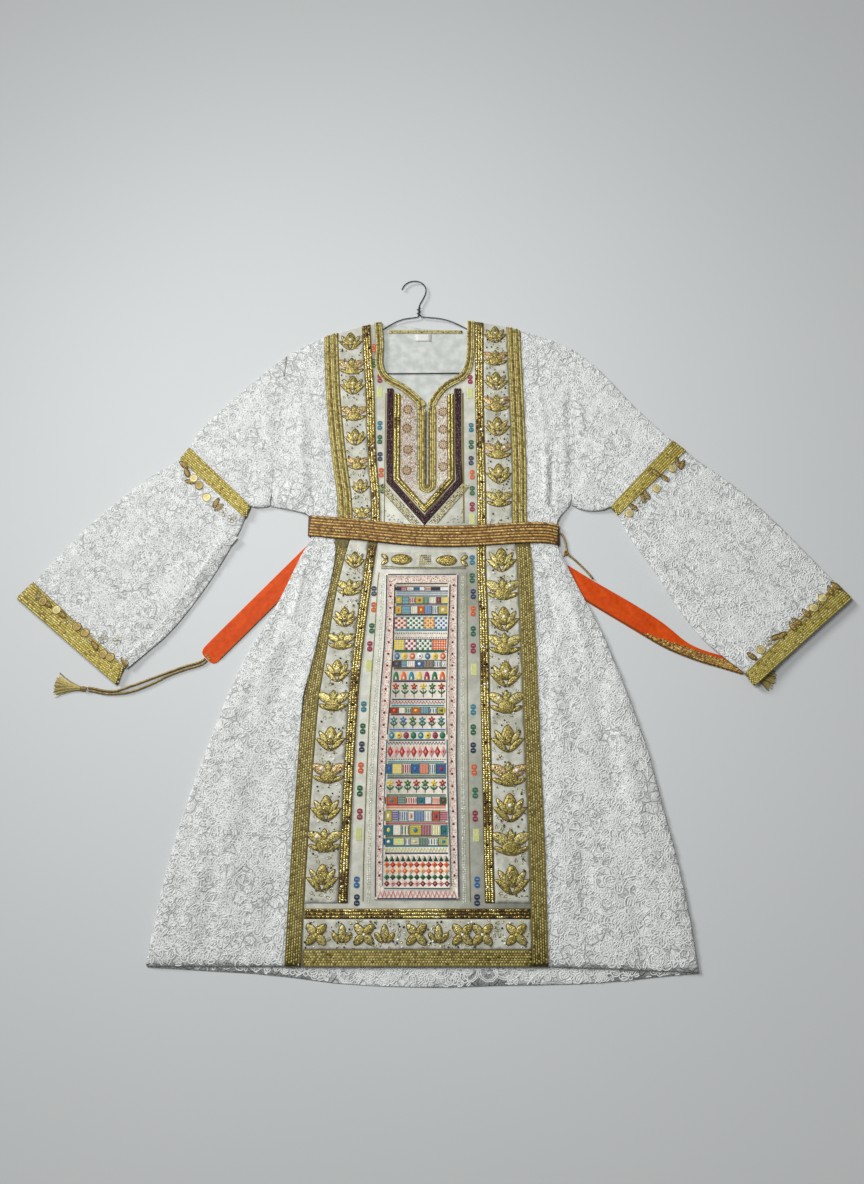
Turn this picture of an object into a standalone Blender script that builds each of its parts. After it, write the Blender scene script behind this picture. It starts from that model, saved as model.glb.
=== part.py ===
"""Lace dress with an embroidered front and a corded belt, laid flat on a wire hanger, front up.

Frame: metres. +Z rises from the surface that the dress lies on, +Y points to the neck and +X to the
right of the dress as it is seen. The origin lies under the middle of everything but the cords.
All sizes and tables below are in millimetres, and MM turns them into metres when a mesh is made.
"""
import bisect
import math
from collections import namedtuple

import bmesh
import bpy
import numpy as np

MM = 0.001

# Thicknesses and heights of the layers, from the surface up
GAP = 0.3
WALL = 1.5
FRONT_BASE = 4.4
FRONT_WALL = 1.6
FRONT_TOP = FRONT_BASE + FRONT_WALL
SATIN = 0.9
MOTIF_RISE = 1.7
BRAID = 1.9
RIB_DIP = 0.7
BELT_THICK = 2.4
BELT_BACK_THICK = 2.1
BELT_LIFT = 2.5
TAIL_THICK = 1.7
SLEEVE_HEIGHT = 6.0
BAND = 1.5
CORD = 4.0
WIRE = 2.2

# Widths
OUTER_BRAID_WIDTH = 24.0
SEQUIN_BRAID_WIDTH = 15.0
BINDING_WIDTH = 13.0
BACK_BINDING_WIDTH = 5.0
SLIT_GAP = 3.0
SLIT_BRAID_WIDTH = 14.0
PLASTRON_WIDTH = 11.0
PLASTRON_BRAID_WIDTH = 10.0
BELT_WIDTH = 36.0
BELT_CORDS = 7
TAIL_WIDTH = 35.0

# Heights along the front
HEM_Y = -560.0
HEM_BRAID_TOP = -536.5
SEQUIN_BAND_TOP = -478.0
SEQUIN_BAND_BOTTOM = -493.0
STRIPS_END = -470.0
NOTCH_Y = 350.0
SLIT_END_Y = 199.0
CENTRE_X = -12.4

ROLL_REACH = 12.0
SHOULDER_DROPS = (0.0, 2.0, 5.0, 10.0, 18.0)

# The front panel: outer edges of its two wide braids and middles of its two sequin braids
PanelRow = namedtuple("PanelRow", "y braid_left sequin_left sequin_right braid_right")
PANEL = (
    PanelRow(505, -195, -121, 80, 152),
    PanelRow(440, -192, -116, 79, 153),
    PanelRow(360, -187, -110, 78, 155),
    PanelRow(285, -179, -108, 79, 156.5),
    PanelRow(230, -171.5, -104, 79.5, 157),
    PanelRow(185, -164, -99, 80, 156),
    PanelRow(150, -161.5, -98, 80, 155),
    PanelRow(130, -161, -98.5, 79.5, 155.5),
    PanelRow(108, -163.5, -100.5, 79, 157.5),
    PanelRow(92, -168.5, -103, 78, 160.5),
    PanelRow(60, -176.5, -107, 78, 162),
    PanelRow(18, -185, -112, 79, 163),
    PanelRow(-30, -192, -118, 80.5, 163.5),
    PanelRow(-90, -199.5, -124, 81, 165),
    PanelRow(-160, -209.5, -129.5, 81, 166),
    PanelRow(-245, -214, -133, 82, 167.5),
    PanelRow(-400, -220, -137.5, 83, 170),
    PanelRow(-470, -222, -139, 84, 170),
    PanelRow(-560, -224, -141, 85, 170),
)

# The shoulder line from the left armhole over the neck peaks to the right armhole
ShoulderPoint = namedtuple("ShoulderPoint", "x y")
SHOULDER = (
    ShoulderPoint(-258, 443), ShoulderPoint(-235, 459), ShoulderPoint(-195, 477),
    ShoulderPoint(-162, 489), ShoulderPoint(-96, 508),
    ShoulderPoint(62, 509), ShoulderPoint(108, 504), ShoulderPoint(152, 491),
    ShoulderPoint(199, 477), ShoulderPoint(245, 454),
)

# The inner edge of the neck binding, from each peak down to the notch
NeckRow = namedtuple("NeckRow", "y left right")
NECK = (
    NeckRow(509, -93, 59), NeckRow(480, -90, 58), NeckRow(455, -89, 58), NeckRow(427, -90, 55),
    NeckRow(407, -83, 47), NeckRow(396, -69, 28), NeckRow(386, -51, 14), NeckRow(371, -33, 1),
    NeckRow(358, -21, -6), NeckRow(350, -14, -10.8),
)

# The side of the dress: each row runs from the front panel out to the armhole or the side seam
SideRow = namedtuple("SideRow", "inner_y outer_x outer_y seam")
LEFT_SIDE = (
    SideRow(440, -260.9, 400, 0.0), SideRow(360, -266.1, 320, 0.0), SideRow(285, -270.9, 245, 0.0),
    SideRow(230, -274.7, 186, 0.4), SideRow(185, -275.8, 164, 1.0), SideRow(165, -245, 158, 1.0),
    SideRow(150, -205.5, 149, 1.0), SideRow(130, -205, 130, 1.0), SideRow(108, -203.5, 108, 1.0),
    SideRow(92, -213, 93, 1.0), SideRow(60, -228, 62, 1.0), SideRow(18, -246, 18, 1.0),
    SideRow(-30, -269, -30, 1.0), SideRow(-90, -305, -90, 1.0), SideRow(-160, -333, -160, 1.0),
    SideRow(-245, -362, -245, 1.0), SideRow(-320, -385, -320, 1.0), SideRow(-400, -406, -400, 1.0),
    SideRow(-470, -420, -472, 1.0), SideRow(-560, -432, -559, 1.0),
)
RIGHT_SIDE = (
    SideRow(440, 243.2, 410, 0.0), SideRow(360, 239.1, 325, 0.0), SideRow(285, 235.3, 248, 0.0),
    SideRow(230, 232.3, 187, 0.4), SideRow(185, 230.6, 165, 1.0), SideRow(165, 222, 157, 1.0),
    SideRow(150, 210, 146, 1.0), SideRow(130, 204, 130, 1.0), SideRow(108, 203, 110, 1.0),
    SideRow(92, 204, 92, 1.0), SideRow(60, 219.5, 61, 1.0), SideRow(18, 238.5, 17, 1.0),
    SideRow(-30, 264, -30, 1.0), SideRow(-90, 288.5, -90, 1.0), SideRow(-160, 313, -160, 1.0),
    SideRow(-245, 339, -245, 1.0), SideRow(-320, 354, -320, 1.0), SideRow(-400, 372, -400, 1.0),
    SideRow(-470, 385.5, -472, 1.0), SideRow(-560, 395, -568, 1.0),
)

# The back's hem, which shows below the front's
HemPoint = namedtuple("HemPoint", "x y")
BACK_HEM = (
    HemPoint(-430, -562), HemPoint(-327, -568), HemPoint(-283, -576), HemPoint(-249, -571),
    HemPoint(-166, -582), HemPoint(-97, -589), HemPoint(-27, -591), HemPoint(36, -590.5),
    HemPoint(142, -584), HemPoint(187, -584), HemPoint(250, -588), HemPoint(315, -576),
    HemPoint(394, -571),
)
BACK_NECK_Y = 493.0
BACK_COLUMNS = (0.0, 0.045, 0.12, 0.22, 0.325, 0.345, 0.49, 0.615, 0.635, 0.78, 0.88, 0.955, 1.0)

# Soft folds of the lace: ridges from one point to another, with their width and height
Fold = namedtuple("Fold", "x0 y0 x1 y1 width height")
FOLDS = (
    Fold(-206, 92, -262, -40, 8, 3.4),
    Fold(-190, 94, -236, -60, 9, 4.2),
    Fold(-236, -60, -312, -200, 14, 3.0),
    Fold(-226, -90, -262, -330, 18, 2.4),
    Fold(-312, -200, -362, -440, 20, 2.6),
    Fold(-262, -330, -280, -530, 24, 1.8),
    Fold(-395, -420, -405, -545, 18, 2.0),
    Fold(186, 86, 206, 10, 8, 3.2),
    Fold(206, 10, 240, -150, 16, 2.4),
    Fold(240, -150, 262, -420, 22, 2.0),
    Fold(262, -40, 330, -300, 16, 2.2),
    Fold(210, -300, 218, -540, 22, 1.7),
    Fold(330, -300, 362, -540, 20, 1.8),
    Fold(-216, 430, -206, 190, 10, 1.6),
    Fold(-240, 400, -238, 230, 14, 1.4),
    Fold(-250, 200, -226, 158, 7, 1.8),
    Fold(174, 410, 182, 165, 9, 2.0),
    Fold(212, 430, 214, 190, 12, 1.6),
)
BELT_PRESS = (82.0, 152.0, 24.0)

# The pleat of the left skirt that lies over the wide braid: how far over it, and how high
PleatRow = namedtuple("PleatRow", "y over rise")
PLEAT = (
    PleatRow(104, -0.3, 0.0), PleatRow(98, -0.3, 4.5), PleatRow(92, 6.0, 4.6), PleatRow(60, 11.5, 4.7),
    PleatRow(18, 12.5, 4.7), PleatRow(-30, 10.0, 4.6), PleatRow(-90, 6.0, 4.5), PleatRow(-130, 2.5, 4.5),
    PleatRow(-150, -0.3, 4.5), PleatRow(-190, -0.3, 2.2), PleatRow(-245, -0.3, 0.6),
    PleatRow(-320, -0.3, 0.0),
)

# What lies under the dress and lifts it: the back of the belt, its two ends and a tassel
Lift = namedtuple("Lift", "x0 y0 x1 y1 half_width ramp height")
LIFTS = (
    Lift(-206, 128.5, 206, 112, 28, 30, BELT_LIFT),
    Lift(-190, 95, -290, -15, 22, 34, BELT_LIFT),
    Lift(190, 66, 262, 20, 30, 40, BELT_LIFT),
    Lift(452, -95, 505, -112, 16, 26, 3.6),
    Lift(505, -112, 556, -136, 15, 26, 4.0),
)

# Sleeves: each section is a line from the upper fold to the lower fold of the flat tube
SleeveRow = namedtuple("SleeveRow", "top_x top_y low_x low_y base puff tuck drop")
LEFT_UPPER = (
    SleeveRow(-258.6, 442.5, -276.5, 165, 0, 0.0, 12, 0),
    SleeveRow(-290, 417, -281, 163, 0, 0.7, 12, 0),
    SleeveRow(-322, 386, -287, 162, 0, 0.9, 12, 0),
    SleeveRow(-355, 355, -293, 161.5, 0, 0.9, 12, 0),
    SleeveRow(-386, 321, -299, 161, 0.4, 0.8, 12, 0),
    SleeveRow(-408, 294, -304, 162, 1.2, 0.4, 12, 0),
    SleeveRow(-418, 268, -310, 164, 1.8, 0.0, 12, 0),
    SleeveRow(-424, 259, -313, 155, 1.8, 0.0, 12, 0),
)
LEFT_LOWER = (
    SleeveRow(-424.3, 258.6, -313.3, 154.6, 1.8, 0.0, 12, 0),
    SleeveRow(-433, 247, -318, 143, 1.8, 0.0, 12, 0),
    SleeveRow(-458, 233, -326, 118, 1.0, 0.5, 14, 1.0),
    SleeveRow(-500, 203, -342, 86, 0.2, 0.9, 18, 1.7),
    SleeveRow(-545, 164, -366, 40, 0, 0.9, 21, 1.8),
    SleeveRow(-592, 116, -398, -10, 0, 0.9, 24, 1.8),
    SleeveRow(-636, 63, -442, -70, 0.4, 0.7, 26, 1.8),
    SleeveRow(-660, 31, -500, -108, 1.8, 0.0, 22, 1.6),
    SleeveRow(-673, 17, -506, -121, 1.8, 0.0, 20, 1.2),
    SleeveRow(-684.5, 4, -510, -138, 1.8, 0.0, 18, 1.0),
)
RIGHT_UPPER = (
    SleeveRow(245.6, 453.5, 231.5, 166, 0, 0.0, 12, 0),
    SleeveRow(282, 425, 244, 159, 0, 0.7, 12, 0),
    SleeveRow(317, 382, 256, 156, 0, 0.9, 12, 0),
    SleeveRow(346, 346, 268, 155, 0, 0.9, 12, 0),
    SleeveRow(370, 320, 279, 156, 0.4, 0.8, 12, 0),
    SleeveRow(392, 298, 287, 157, 1.2, 0.4, 12, 0),
    SleeveRow(408, 281, 297.5, 163, 1.8, 0.0, 12, 0),
    SleeveRow(419, 271.5, 304, 156, 1.8, 0.0, 12, 0),
)
RIGHT_LOWER = (
    SleeveRow(419.4, 271.2, 304.4, 155.6, 1.8, 0.0, 12, 0),
    SleeveRow(430, 262, 310, 148, 1.8, 0.0, 12, 0),
    SleeveRow(455, 241, 322, 112, 1.0, 0.5, 12, 0),
    SleeveRow(492, 215, 343, 84, 0.2, 0.9, 12, 0),
    SleeveRow(536, 176, 370, 42, 0, 0.9, 12, 0),
    SleeveRow(583, 125, 400, -14, 0, 0.9, 12, 0),
    SleeveRow(628, 70, 438, -72, 0.4, 0.7, 12, 0),
    SleeveRow(662, 30, 499, -119, 1.8, 0.0, 12, 0),
    SleeveRow(672.6, 17, 506, -129, 1.8, 0.0, 12, 0),
    SleeveRow(684.5, 3.5, 513, -139, 1.8, 0.0, 12, 0),
)
SLEEVE_EDGE = (0.0, 1.1, 3.2, 8.0)
BAND_RIBS = 2

# Gold flowers on the two long strips: the middle of each, from the shoulder down
LEFT_MOTIFS_Y = (468, 420, 384, 332, 287, 240, 198, 151, 69, 22, -28, -67, -116, -164, -224, -276,
                 -331, -379, -434)
RIGHT_MOTIFS_Y = (481, 436, 392, 350, 307, 263, 221, 176, 69, 19, -31, -72, -121, -166, -224, -279,
                  -330, -382, -437)
BUD_OUTLINE = (0.62, 0.80, 1.0, 0.98, 0.72, 0.56, 0.80, 0.56, 0.72, 0.98, 1.0, 0.80)
FAN_OUTLINE = (0.92, 0.70, 0.95, 1.0, 0.62, 0.48, 0.85, 0.48, 0.62, 1.0, 0.95, 0.70)
LEAF_OUTLINE = (0.5, 0.62, 0.85, 1.0, 0.85, 0.62, 0.5, 0.62, 0.85, 1.0, 0.85, 0.62)
CROSS_OUTLINE = (0.55, 1.0, 0.72, 0.72, 1.0, 0.55, 0.55, 0.55, 1.0, 0.72, 0.72, 1.0)
PLAIN_TOP, PLAIN_LOW = 146.0, 90.0
PLAIN_RISE = 0.01
HEM_MOTIFS_X = (-178, -139, -106, -75, -27, 6, 42, 72, 123)

# The belt's course over the front, its middle line
BeltPoint = namedtuple("BeltPoint", "x y")
BELT_LINE = (
    BeltPoint(-206, 128.5), BeltPoint(-175, 125), BeltPoint(-124, 121), BeltPoint(-91, 117),
    BeltPoint(-24, 110.5), BeltPoint(43, 109.5), BeltPoint(93, 112), BeltPoint(144, 115.5),
    BeltPoint(186, 116), BeltPoint(205, 112.5),
)
LoopPoint = namedtuple("LoopPoint", "x z")
BELT_LOOP = (
    LoopPoint(-208.5, 5.0), LoopPoint(-206, 7.0), LoopPoint(-196, 7.6), LoopPoint(-176, 8.6),
    LoopPoint(-150, 8.8), LoopPoint(-120, 8.8), LoopPoint(-90, 8.8), LoopPoint(-55, 8.8),
    LoopPoint(-20, 8.8), LoopPoint(15, 8.8), LoopPoint(50, 8.8), LoopPoint(85, 8.8),
    LoopPoint(120, 8.8), LoopPoint(150, 8.8), LoopPoint(176, 8.6), LoopPoint(193, 7.6),
    LoopPoint(203.5, 7.0), LoopPoint(206.5, 5.0),
)
BELT_UNDER = (
    LoopPoint(205.0, 2.2), LoopPoint(194, 2.1), LoopPoint(0, 2.1), LoopPoint(-196, 2.1),
    LoopPoint(-207.0, 2.2),
)

# The belt's right end, which turns over on its way to the cuff
TailRow = namedtuple("TailRow", "top_x top_y low_x low_y rise")
RIGHT_TAIL = (
    TailRow(195, 79, 177, 49, 0.0), TailRow(235, 53, 216, 22, 0.0), TailRow(274, 28, 254, -3, 0.2),
    TailRow(306, 9, 287, -24, 0.3), TailRow(354, -21, 332, -52, 0.6), TailRow(388, -47, 366, -74, 1.4),
    TailRow(410, -70, 396, -88, 1.9), TailRow(440, -83, 433, -102, 1.4), TailRow(463, -89, 458, -109, 0.8),
    TailRow(486, -97, 480, -116, 0.4), TailRow(502, -103, 496, -121, 0.2),
)
LEFT_TAIL_START = (-191.5, 92.5)
LEFT_TAIL_END = (-368.5, -95.5)

# Cord routes on the surface, from where each cord leaves the belt
LEFT_CORD = ((-370.8, -95.2), (-378, -100.2), (-389, -104), (-402, -107.5), (-429, -117.5),
             (-459, -129), (-487, -139.5), (-511, -147.6), (-530, -147.2), (-545, -144.0),
             (-556, -142.2))
LEFT_CORD_LOWER = ((-367.6, -98.4), (-375, -104.2), (-387, -108.6), (-400, -112.2), (-427, -122.2),
                   (-457, -137.5), (-487, -148.8), (-511, -152.1), (-530, -151.6), (-545, -148.4),
                   (-556, -146.6))
RIGHT_CORD = ((210.2, 117), (214.5, 113.5), (218.3, 104), (220.2, 92), (222.5, 81), (233, 71),
              (246, 58), (256, 46.5), (262, 38.6))
CORD_STEP = 11.0

# Tassels: where the head lies, where the strands point, and how they fan out
Tassel = namedtuple("Tassel", "name x y angle length fan head_length head_width")
TASSELS = (
    Tassel("tassel_left", -561.5, -144.4, 173.0, 51.0, 27.0, 9.0, 9.0),
    Tassel("tassel_right", 505.4, -114.8, -25.0, 48.0, 26.0, 9.0, 8.5),
)
STRANDS_ACROSS = 9
STRAND_LAYERS = 2

# Wire hanger: hook, twist, arms and bottom bar
HOOK = ((-57.6, 572.5), (-54, 580.5), (-46.5, 587), (-35, 589.9), (-23.5, 587.2), (-15.6, 578.5),
        (-14.6, 566), (-19.5, 554), (-25.6, 543), (-27.6, 536.5))
TWIST_X, TWIST_Y = -27.6, 526.0
TWIST_LENGTH = 15.0
TWIST_TURNS = 2.0
LEFT_ARM = ((-33.5, 516.2), (-46, 515.5), (-64, 512.5), (-84, 497.5), (-110, 482), (-160, 453),
            (-205, 428))
RIGHT_ARM = ((-21.8, 517.2), (-8, 517), (14, 515.5), (36, 507.5), (52, 498.5), (80, 482), (120, 458),
             (165, 430))
BAR_LEFT = (-222, 408)
BAR_RIGHT = (182, 410.5)
ARM_END_RADIUS = 9.0


def through(pairs):
    """A smooth function of the first value of each pair that passes through every pair."""
    pairs = sorted(pairs)
    keys = [pair[0] for pair in pairs]
    values = [pair[1] for pair in pairs]
    slopes = np.gradient(values, keys)

    def at(key):
        key = min(max(key, keys[0]), keys[-1])
        i = min(max(bisect.bisect_right(keys, key) - 1, 0), len(keys) - 2)
        span = keys[i + 1] - keys[i]
        t = (key - keys[i]) / span
        start = (2 * t ** 3 - 3 * t ** 2 + 1) * values[i] + (t ** 3 - 2 * t ** 2 + t) * span * slopes[i]
        end = (3 * t ** 2 - 2 * t ** 3) * values[i + 1] + (t ** 3 - t ** 2) * span * slopes[i + 1]
        return start + end

    return at


def straight(pairs):
    """A function of the first value of each pair, straight between the pairs."""
    pairs = sorted(pairs)
    keys = [pair[0] for pair in pairs]
    values = [pair[1] for pair in pairs]
    return lambda key: float(np.interp(key, keys, values))


def smooth_path(points, count):
    """Points at even steps along a smooth curve through the given points."""
    points = [np.array(point, dtype=float) for point in points]
    points = [2 * points[0] - points[1]] + points + [2 * points[-1] - points[-2]]
    fine = []
    for i in range(1, len(points) - 2):
        before, start, end, after = points[i - 1:i + 3]
        for t in np.linspace(0, 1, 12, endpoint=False):
            fine.append(0.5 * (2 * start + (end - before) * t
                               + (2 * before - 5 * start + 4 * end - after) * t ** 2
                               + (3 * start - before - 3 * end + after) * t ** 3))
    fine.append(points[-2])
    steps = [0.0]
    for one, other in zip(fine, fine[1:]):
        steps.append(steps[-1] + float(np.linalg.norm(other - one)))
    wanted = np.linspace(0, steps[-1], count)
    fine = np.array(fine)
    return np.stack([np.interp(wanted, steps, fine[:, k]) for k in range(fine.shape[1])], axis=1)


def path_length(points):
    """The length along straight runs between the points."""
    points = [np.array(point, dtype=float) for point in points]
    return sum(float(np.linalg.norm(b - a)) for a, b in zip(points, points[1:]))


def soft_step(value):
    """Rises softly from 0 to 1 as value goes from 0 to 1."""
    value = min(max(value, 0.0), 1.0)
    return value * value * (3 - 2 * value)


def roll(distance, reach=ROLL_REACH):
    """Height of a rounded cloth edge: 0 at the edge itself and 1 from reach inwards."""
    t = min(max(distance / reach, 0.0), 1.0)
    return math.sqrt(1 - (1 - t) ** 2)


def distance_to(x, y, run):
    """Distance from a point to a straight run, and how far along the run it is."""
    dx, dy = run.x1 - run.x0, run.y1 - run.y0
    along = ((x - run.x0) * dx + (y - run.y0) * dy) / (dx * dx + dy * dy)
    along = min(max(along, 0.0), 1.0)
    return math.hypot(x - run.x0 - along * dx, y - run.y0 - along * dy), along


def lift(x, y):
    """How far the layers are raised over what lies under them."""
    height = 0.0
    for run in LIFTS:
        away, _ = distance_to(x, y, run)
        height = max(height, run.height * soft_step(1 - (away - run.half_width) / run.ramp))
    return height


def fold_height(x, y):
    """Height of the lace's soft folds, pressed flat under the belt."""
    height = 0.0
    for run in FOLDS:
        away, along = distance_to(x, y, run)
        ends = soft_step(4 * along + 0.35) * soft_step(4 * (1 - along) + 0.35)
        height += run.height * math.exp(-(away / run.width) ** 2) * ends
    low, high, ramp = BELT_PRESS
    free = max(soft_step((low - y) / ramp), soft_step((y - high) / ramp))
    return height * free


PANEL_EDGE = {name: straight([(row.y, getattr(row, name)) for row in PANEL])
              for name in ("braid_left", "sequin_left", "sequin_right", "braid_right")}
shoulder_y = straight([(point.x, point.y) for point in SHOULDER])
back_hem_y = through([(point.x, point.y) for point in BACK_HEM])
belt_y = through([(point.x, point.y) for point in BELT_LINE])
pleat_over = straight([(row.y, row.over) for row in PLEAT])
pleat_rise = straight([(row.y, row.rise) for row in PLEAT])
neck_left = straight([(row.y, row.left) for row in NECK])
neck_right = straight([(row.y, row.right) for row in NECK])


def shoulder_fall(x, y):
    """How far the front has dropped towards the shoulder seam at this point."""
    drop = shoulder_y(x) - y
    table = [(d, roll(d, SHOULDER_DROPS[-1])) for d in SHOULDER_DROPS]
    return (1 - straight(table)(drop)) * (FRONT_BASE - WALL - GAP)


def front_top(x, y):
    """Top of the front panel, which everything on it is made from."""
    return FRONT_TOP - shoulder_fall(x, y)


FINISHES = {
    "lace": ((0.80, 0.81, 0.80), 0.85, 0.0),
    "satin": ((0.76, 0.77, 0.74), 0.45, 0.0),
    "gold_braid": ((0.45, 0.38, 0.11), 0.45, 0.5),
    "gold_flowers": ((0.52, 0.38, 0.12), 0.4, 0.5),
    "dark_beads": ((0.045, 0.018, 0.028), 0.3, 0.0),
    "bands": ((0.55, 0.40, 0.36), 0.8, 0.0),
    "belt_cord": ((0.36, 0.22, 0.06), 0.5, 0.4),
    "orange_satin": ((0.73, 0.09, 0.01), 0.4, 0.0),
    "wire": ((0.06, 0.06, 0.07), 0.35, 0.9),
    "label": ((0.85, 0.85, 0.83), 0.6, 0.0),
}


def finish(name, obj, finish_name, smooth_angle=40):
    """Gives an object its name, its own material and smooth shading."""
    colour, roughness, metallic = FINISHES[finish_name]
    material = bpy.data.materials.new(name)
    material.use_nodes = True
    shader = material.node_tree.nodes["Principled BSDF"]
    shader.inputs["Base Color"].default_value = (*colour, 1)
    shader.inputs["Roughness"].default_value = roughness
    shader.inputs["Metallic"].default_value = metallic
    obj.data.materials.append(material)
    if obj.type == "MESH":
        obj.data.shade_smooth()
        obj.data.set_sharp_from_angle(angle=math.radians(smooth_angle))
    return obj


def mesh_object(name, points, faces, finish_name):
    """A closed mesh from points in millimetres, with its faces turned outwards."""
    mesh = bpy.data.meshes.new(name)
    mesh.from_pydata([tuple(value * MM for value in point) for point in points], [], faces)
    shape = bmesh.new()
    shape.from_mesh(mesh)
    bmesh.ops.remove_doubles(shape, verts=shape.verts, dist=0.000005)
    bmesh.ops.triangulate(shape, faces=[face for face in shape.faces if len(face.verts) > 3])
    bmesh.ops.recalc_face_normals(shape, faces=shape.faces)
    shape.to_mesh(mesh)
    shape.free()
    obj = bpy.data.objects.new(name, mesh)
    bpy.context.collection.objects.link(obj)
    return finish(name, obj, finish_name)


def strip_body(name, top, bottom, finish_name):
    """A strip with a shaped top over an underside that runs straight from edge to edge."""
    rows, columns = len(top), len(top[0])
    points = [point for row in top for point in row]
    low = len(points)
    points += [spot for row in bottom for spot in (row[0], row[-1])]
    faces = []
    for i in range(rows - 1):
        for j in range(columns - 1):
            corner = i * columns + j
            faces.append([corner, corner + 1, corner + columns + 1, corner + columns])
        under = low + 2 * i
        faces.append([under, under + 2, under + 3, under + 1])
        faces.append([i * columns, (i + 1) * columns, under + 2, under])
        faces.append([(i + 1) * columns - 1, under + 1, under + 3, (i + 2) * columns - 1])
    for i in (0, rows - 1):
        faces.append([i * columns + j for j in range(columns)] + [low + 2 * i + 1, low + 2 * i])
    return mesh_object(name, points, faces, finish_name)


def slab(name, top, bottom, finish_name, plain_under=False):
    """A wall between a top and a bottom grid of points with as many rows and columns.

    A plain underside is one flat face between the rim's points.
    """
    rows, columns = len(top), len(top[0])
    points = [point for row in top for point in row] + [point for row in bottom for point in row]
    under = rows * columns

    def index(i, j):
        return i * columns + j

    faces = []
    for i in range(rows - 1):
        for j in range(columns - 1):
            square = [index(i, j), index(i, j + 1), index(i + 1, j + 1), index(i + 1, j)]
            faces.append(square)
            if not plain_under:
                faces.append([corner + under for corner in reversed(square)])
    rim = [index(0, j) for j in range(columns)]
    rim += [index(i, columns - 1) for i in range(1, rows)]
    rim += [index(rows - 1, j) for j in range(columns - 2, -1, -1)]
    rim += [index(i, 0) for i in range(rows - 2, 0, -1)]
    for one, other in zip(rim, rim[1:] + rim[:1]):
        faces.append([one, one + under, other + under, other])
    if plain_under:
        faces.append([corner + under for corner in reversed(rim)])
    return mesh_object(name, points, faces, finish_name)


def tube(name, outer, inner, finish_name):
    """An open tube between rings of outer and inner points."""
    stations, around = len(outer), len(outer[0])
    points = [point for ring in outer for point in ring] + [point for ring in inner for point in ring]
    under = stations * around
    faces = []
    for i in range(stations - 1):
        for j in range(around):
            k = (j + 1) % around
            square = [i * around + j, i * around + k, (i + 1) * around + k, (i + 1) * around + j]
            faces.append(square)
            faces.append([corner + under for corner in reversed(square)])
    for i in (0, stations - 1):
        for j in range(around):
            k = (j + 1) % around
            faces.append([i * around + j, i * around + k, i * around + k + under, i * around + j + under])
    return mesh_object(name, points, faces, finish_name)


def closed_loop(name, sections, finish_name):
    """A body through sections of as many points each, whose last section joins its first."""
    around = len(sections[0])
    points = [point for section in sections for point in section]
    faces = []
    for i in range(len(sections)):
        k = (i + 1) % len(sections)
        for j in range(around):
            m = (j + 1) % around
            faces.append([i * around + j, i * around + m, k * around + m, k * around + j])
    return mesh_object(name, points, faces, finish_name)


def rib_profile(ribs, thickness):
    """Places across a braid from 0 to 1, and the height of its ribs and dips there."""
    profile = []
    for i in range(2 * ribs + 1):
        profile.append((i / (2 * ribs), thickness if i % 2 else thickness - RIB_DIP))
    return profile


def front_rows(first_y, last_y, extra=()):
    """Heights of the rows of a piece that starts at the shoulder: drops first, then fixed heights."""
    fixed = [row.y for row in PANEL if last_y < row.y < first_y] + list(extra) + [last_y]
    return [("drop", drop) for drop in SHOULDER_DROPS] + [("y", y) for y in sorted(fixed, reverse=True)]


def row_y(row, x):
    """The y of a row where it crosses x."""
    kind, value = row
    return shoulder_y(x) - value if kind == "drop" else value


def along_strip(name, left, right, rows, profile, finish_name):
    """A strip that runs down the front between two edges, with its profile across it."""
    top, bottom = [], []
    for row in rows:
        guess = row[1] if row[0] == "y" else row_y(row, 0.5 * (left(480) + right(480)))
        top_row, bottom_row = [], []
        for place, height in profile:
            x = left(guess) + (right(guess) - left(guess)) * place
            y = row_y(row, x)
            base = front_top(x, y) + GAP
            top_row.append((x, y, base + height))
            bottom_row.append((x, y, base))
        top.append(top_row)
        bottom.append(bottom_row)
    return strip_body(name, top, bottom, finish_name)


def path_strip(name, inner, outward, width, profile, finish_name, base_of):
    """A strip beside a path, laid to the outward side of it, with its profile across it."""
    points = [np.array(point, dtype=float) for point in inner]
    top, bottom = [], []
    for i, point in enumerate(points):
        before = points[max(i - 1, 0)]
        after = points[min(i + 1, len(points) - 1)]
        first = point - before if i > 0 else after - point
        second = after - point if i < len(points) - 1 else point - before
        first = first / np.linalg.norm(first)
        second = second / np.linalg.norm(second)
        course = (first + second) / np.linalg.norm(first + second)
        mitre = 1 / max(0.5, float(np.dot(course, second)))
        normal = np.array((-course[1], course[0])) * outward * mitre
        top_row, bottom_row = [], []
        for place, height in profile:
            x, y = point + normal * width * place
            base = base_of(x, y) + GAP
            top_row.append((x, y, base + height))
            bottom_row.append((x, y, base))
        top.append(top_row)
        bottom.append(bottom_row)
    return strip_body(name, top, bottom, finish_name)


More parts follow.
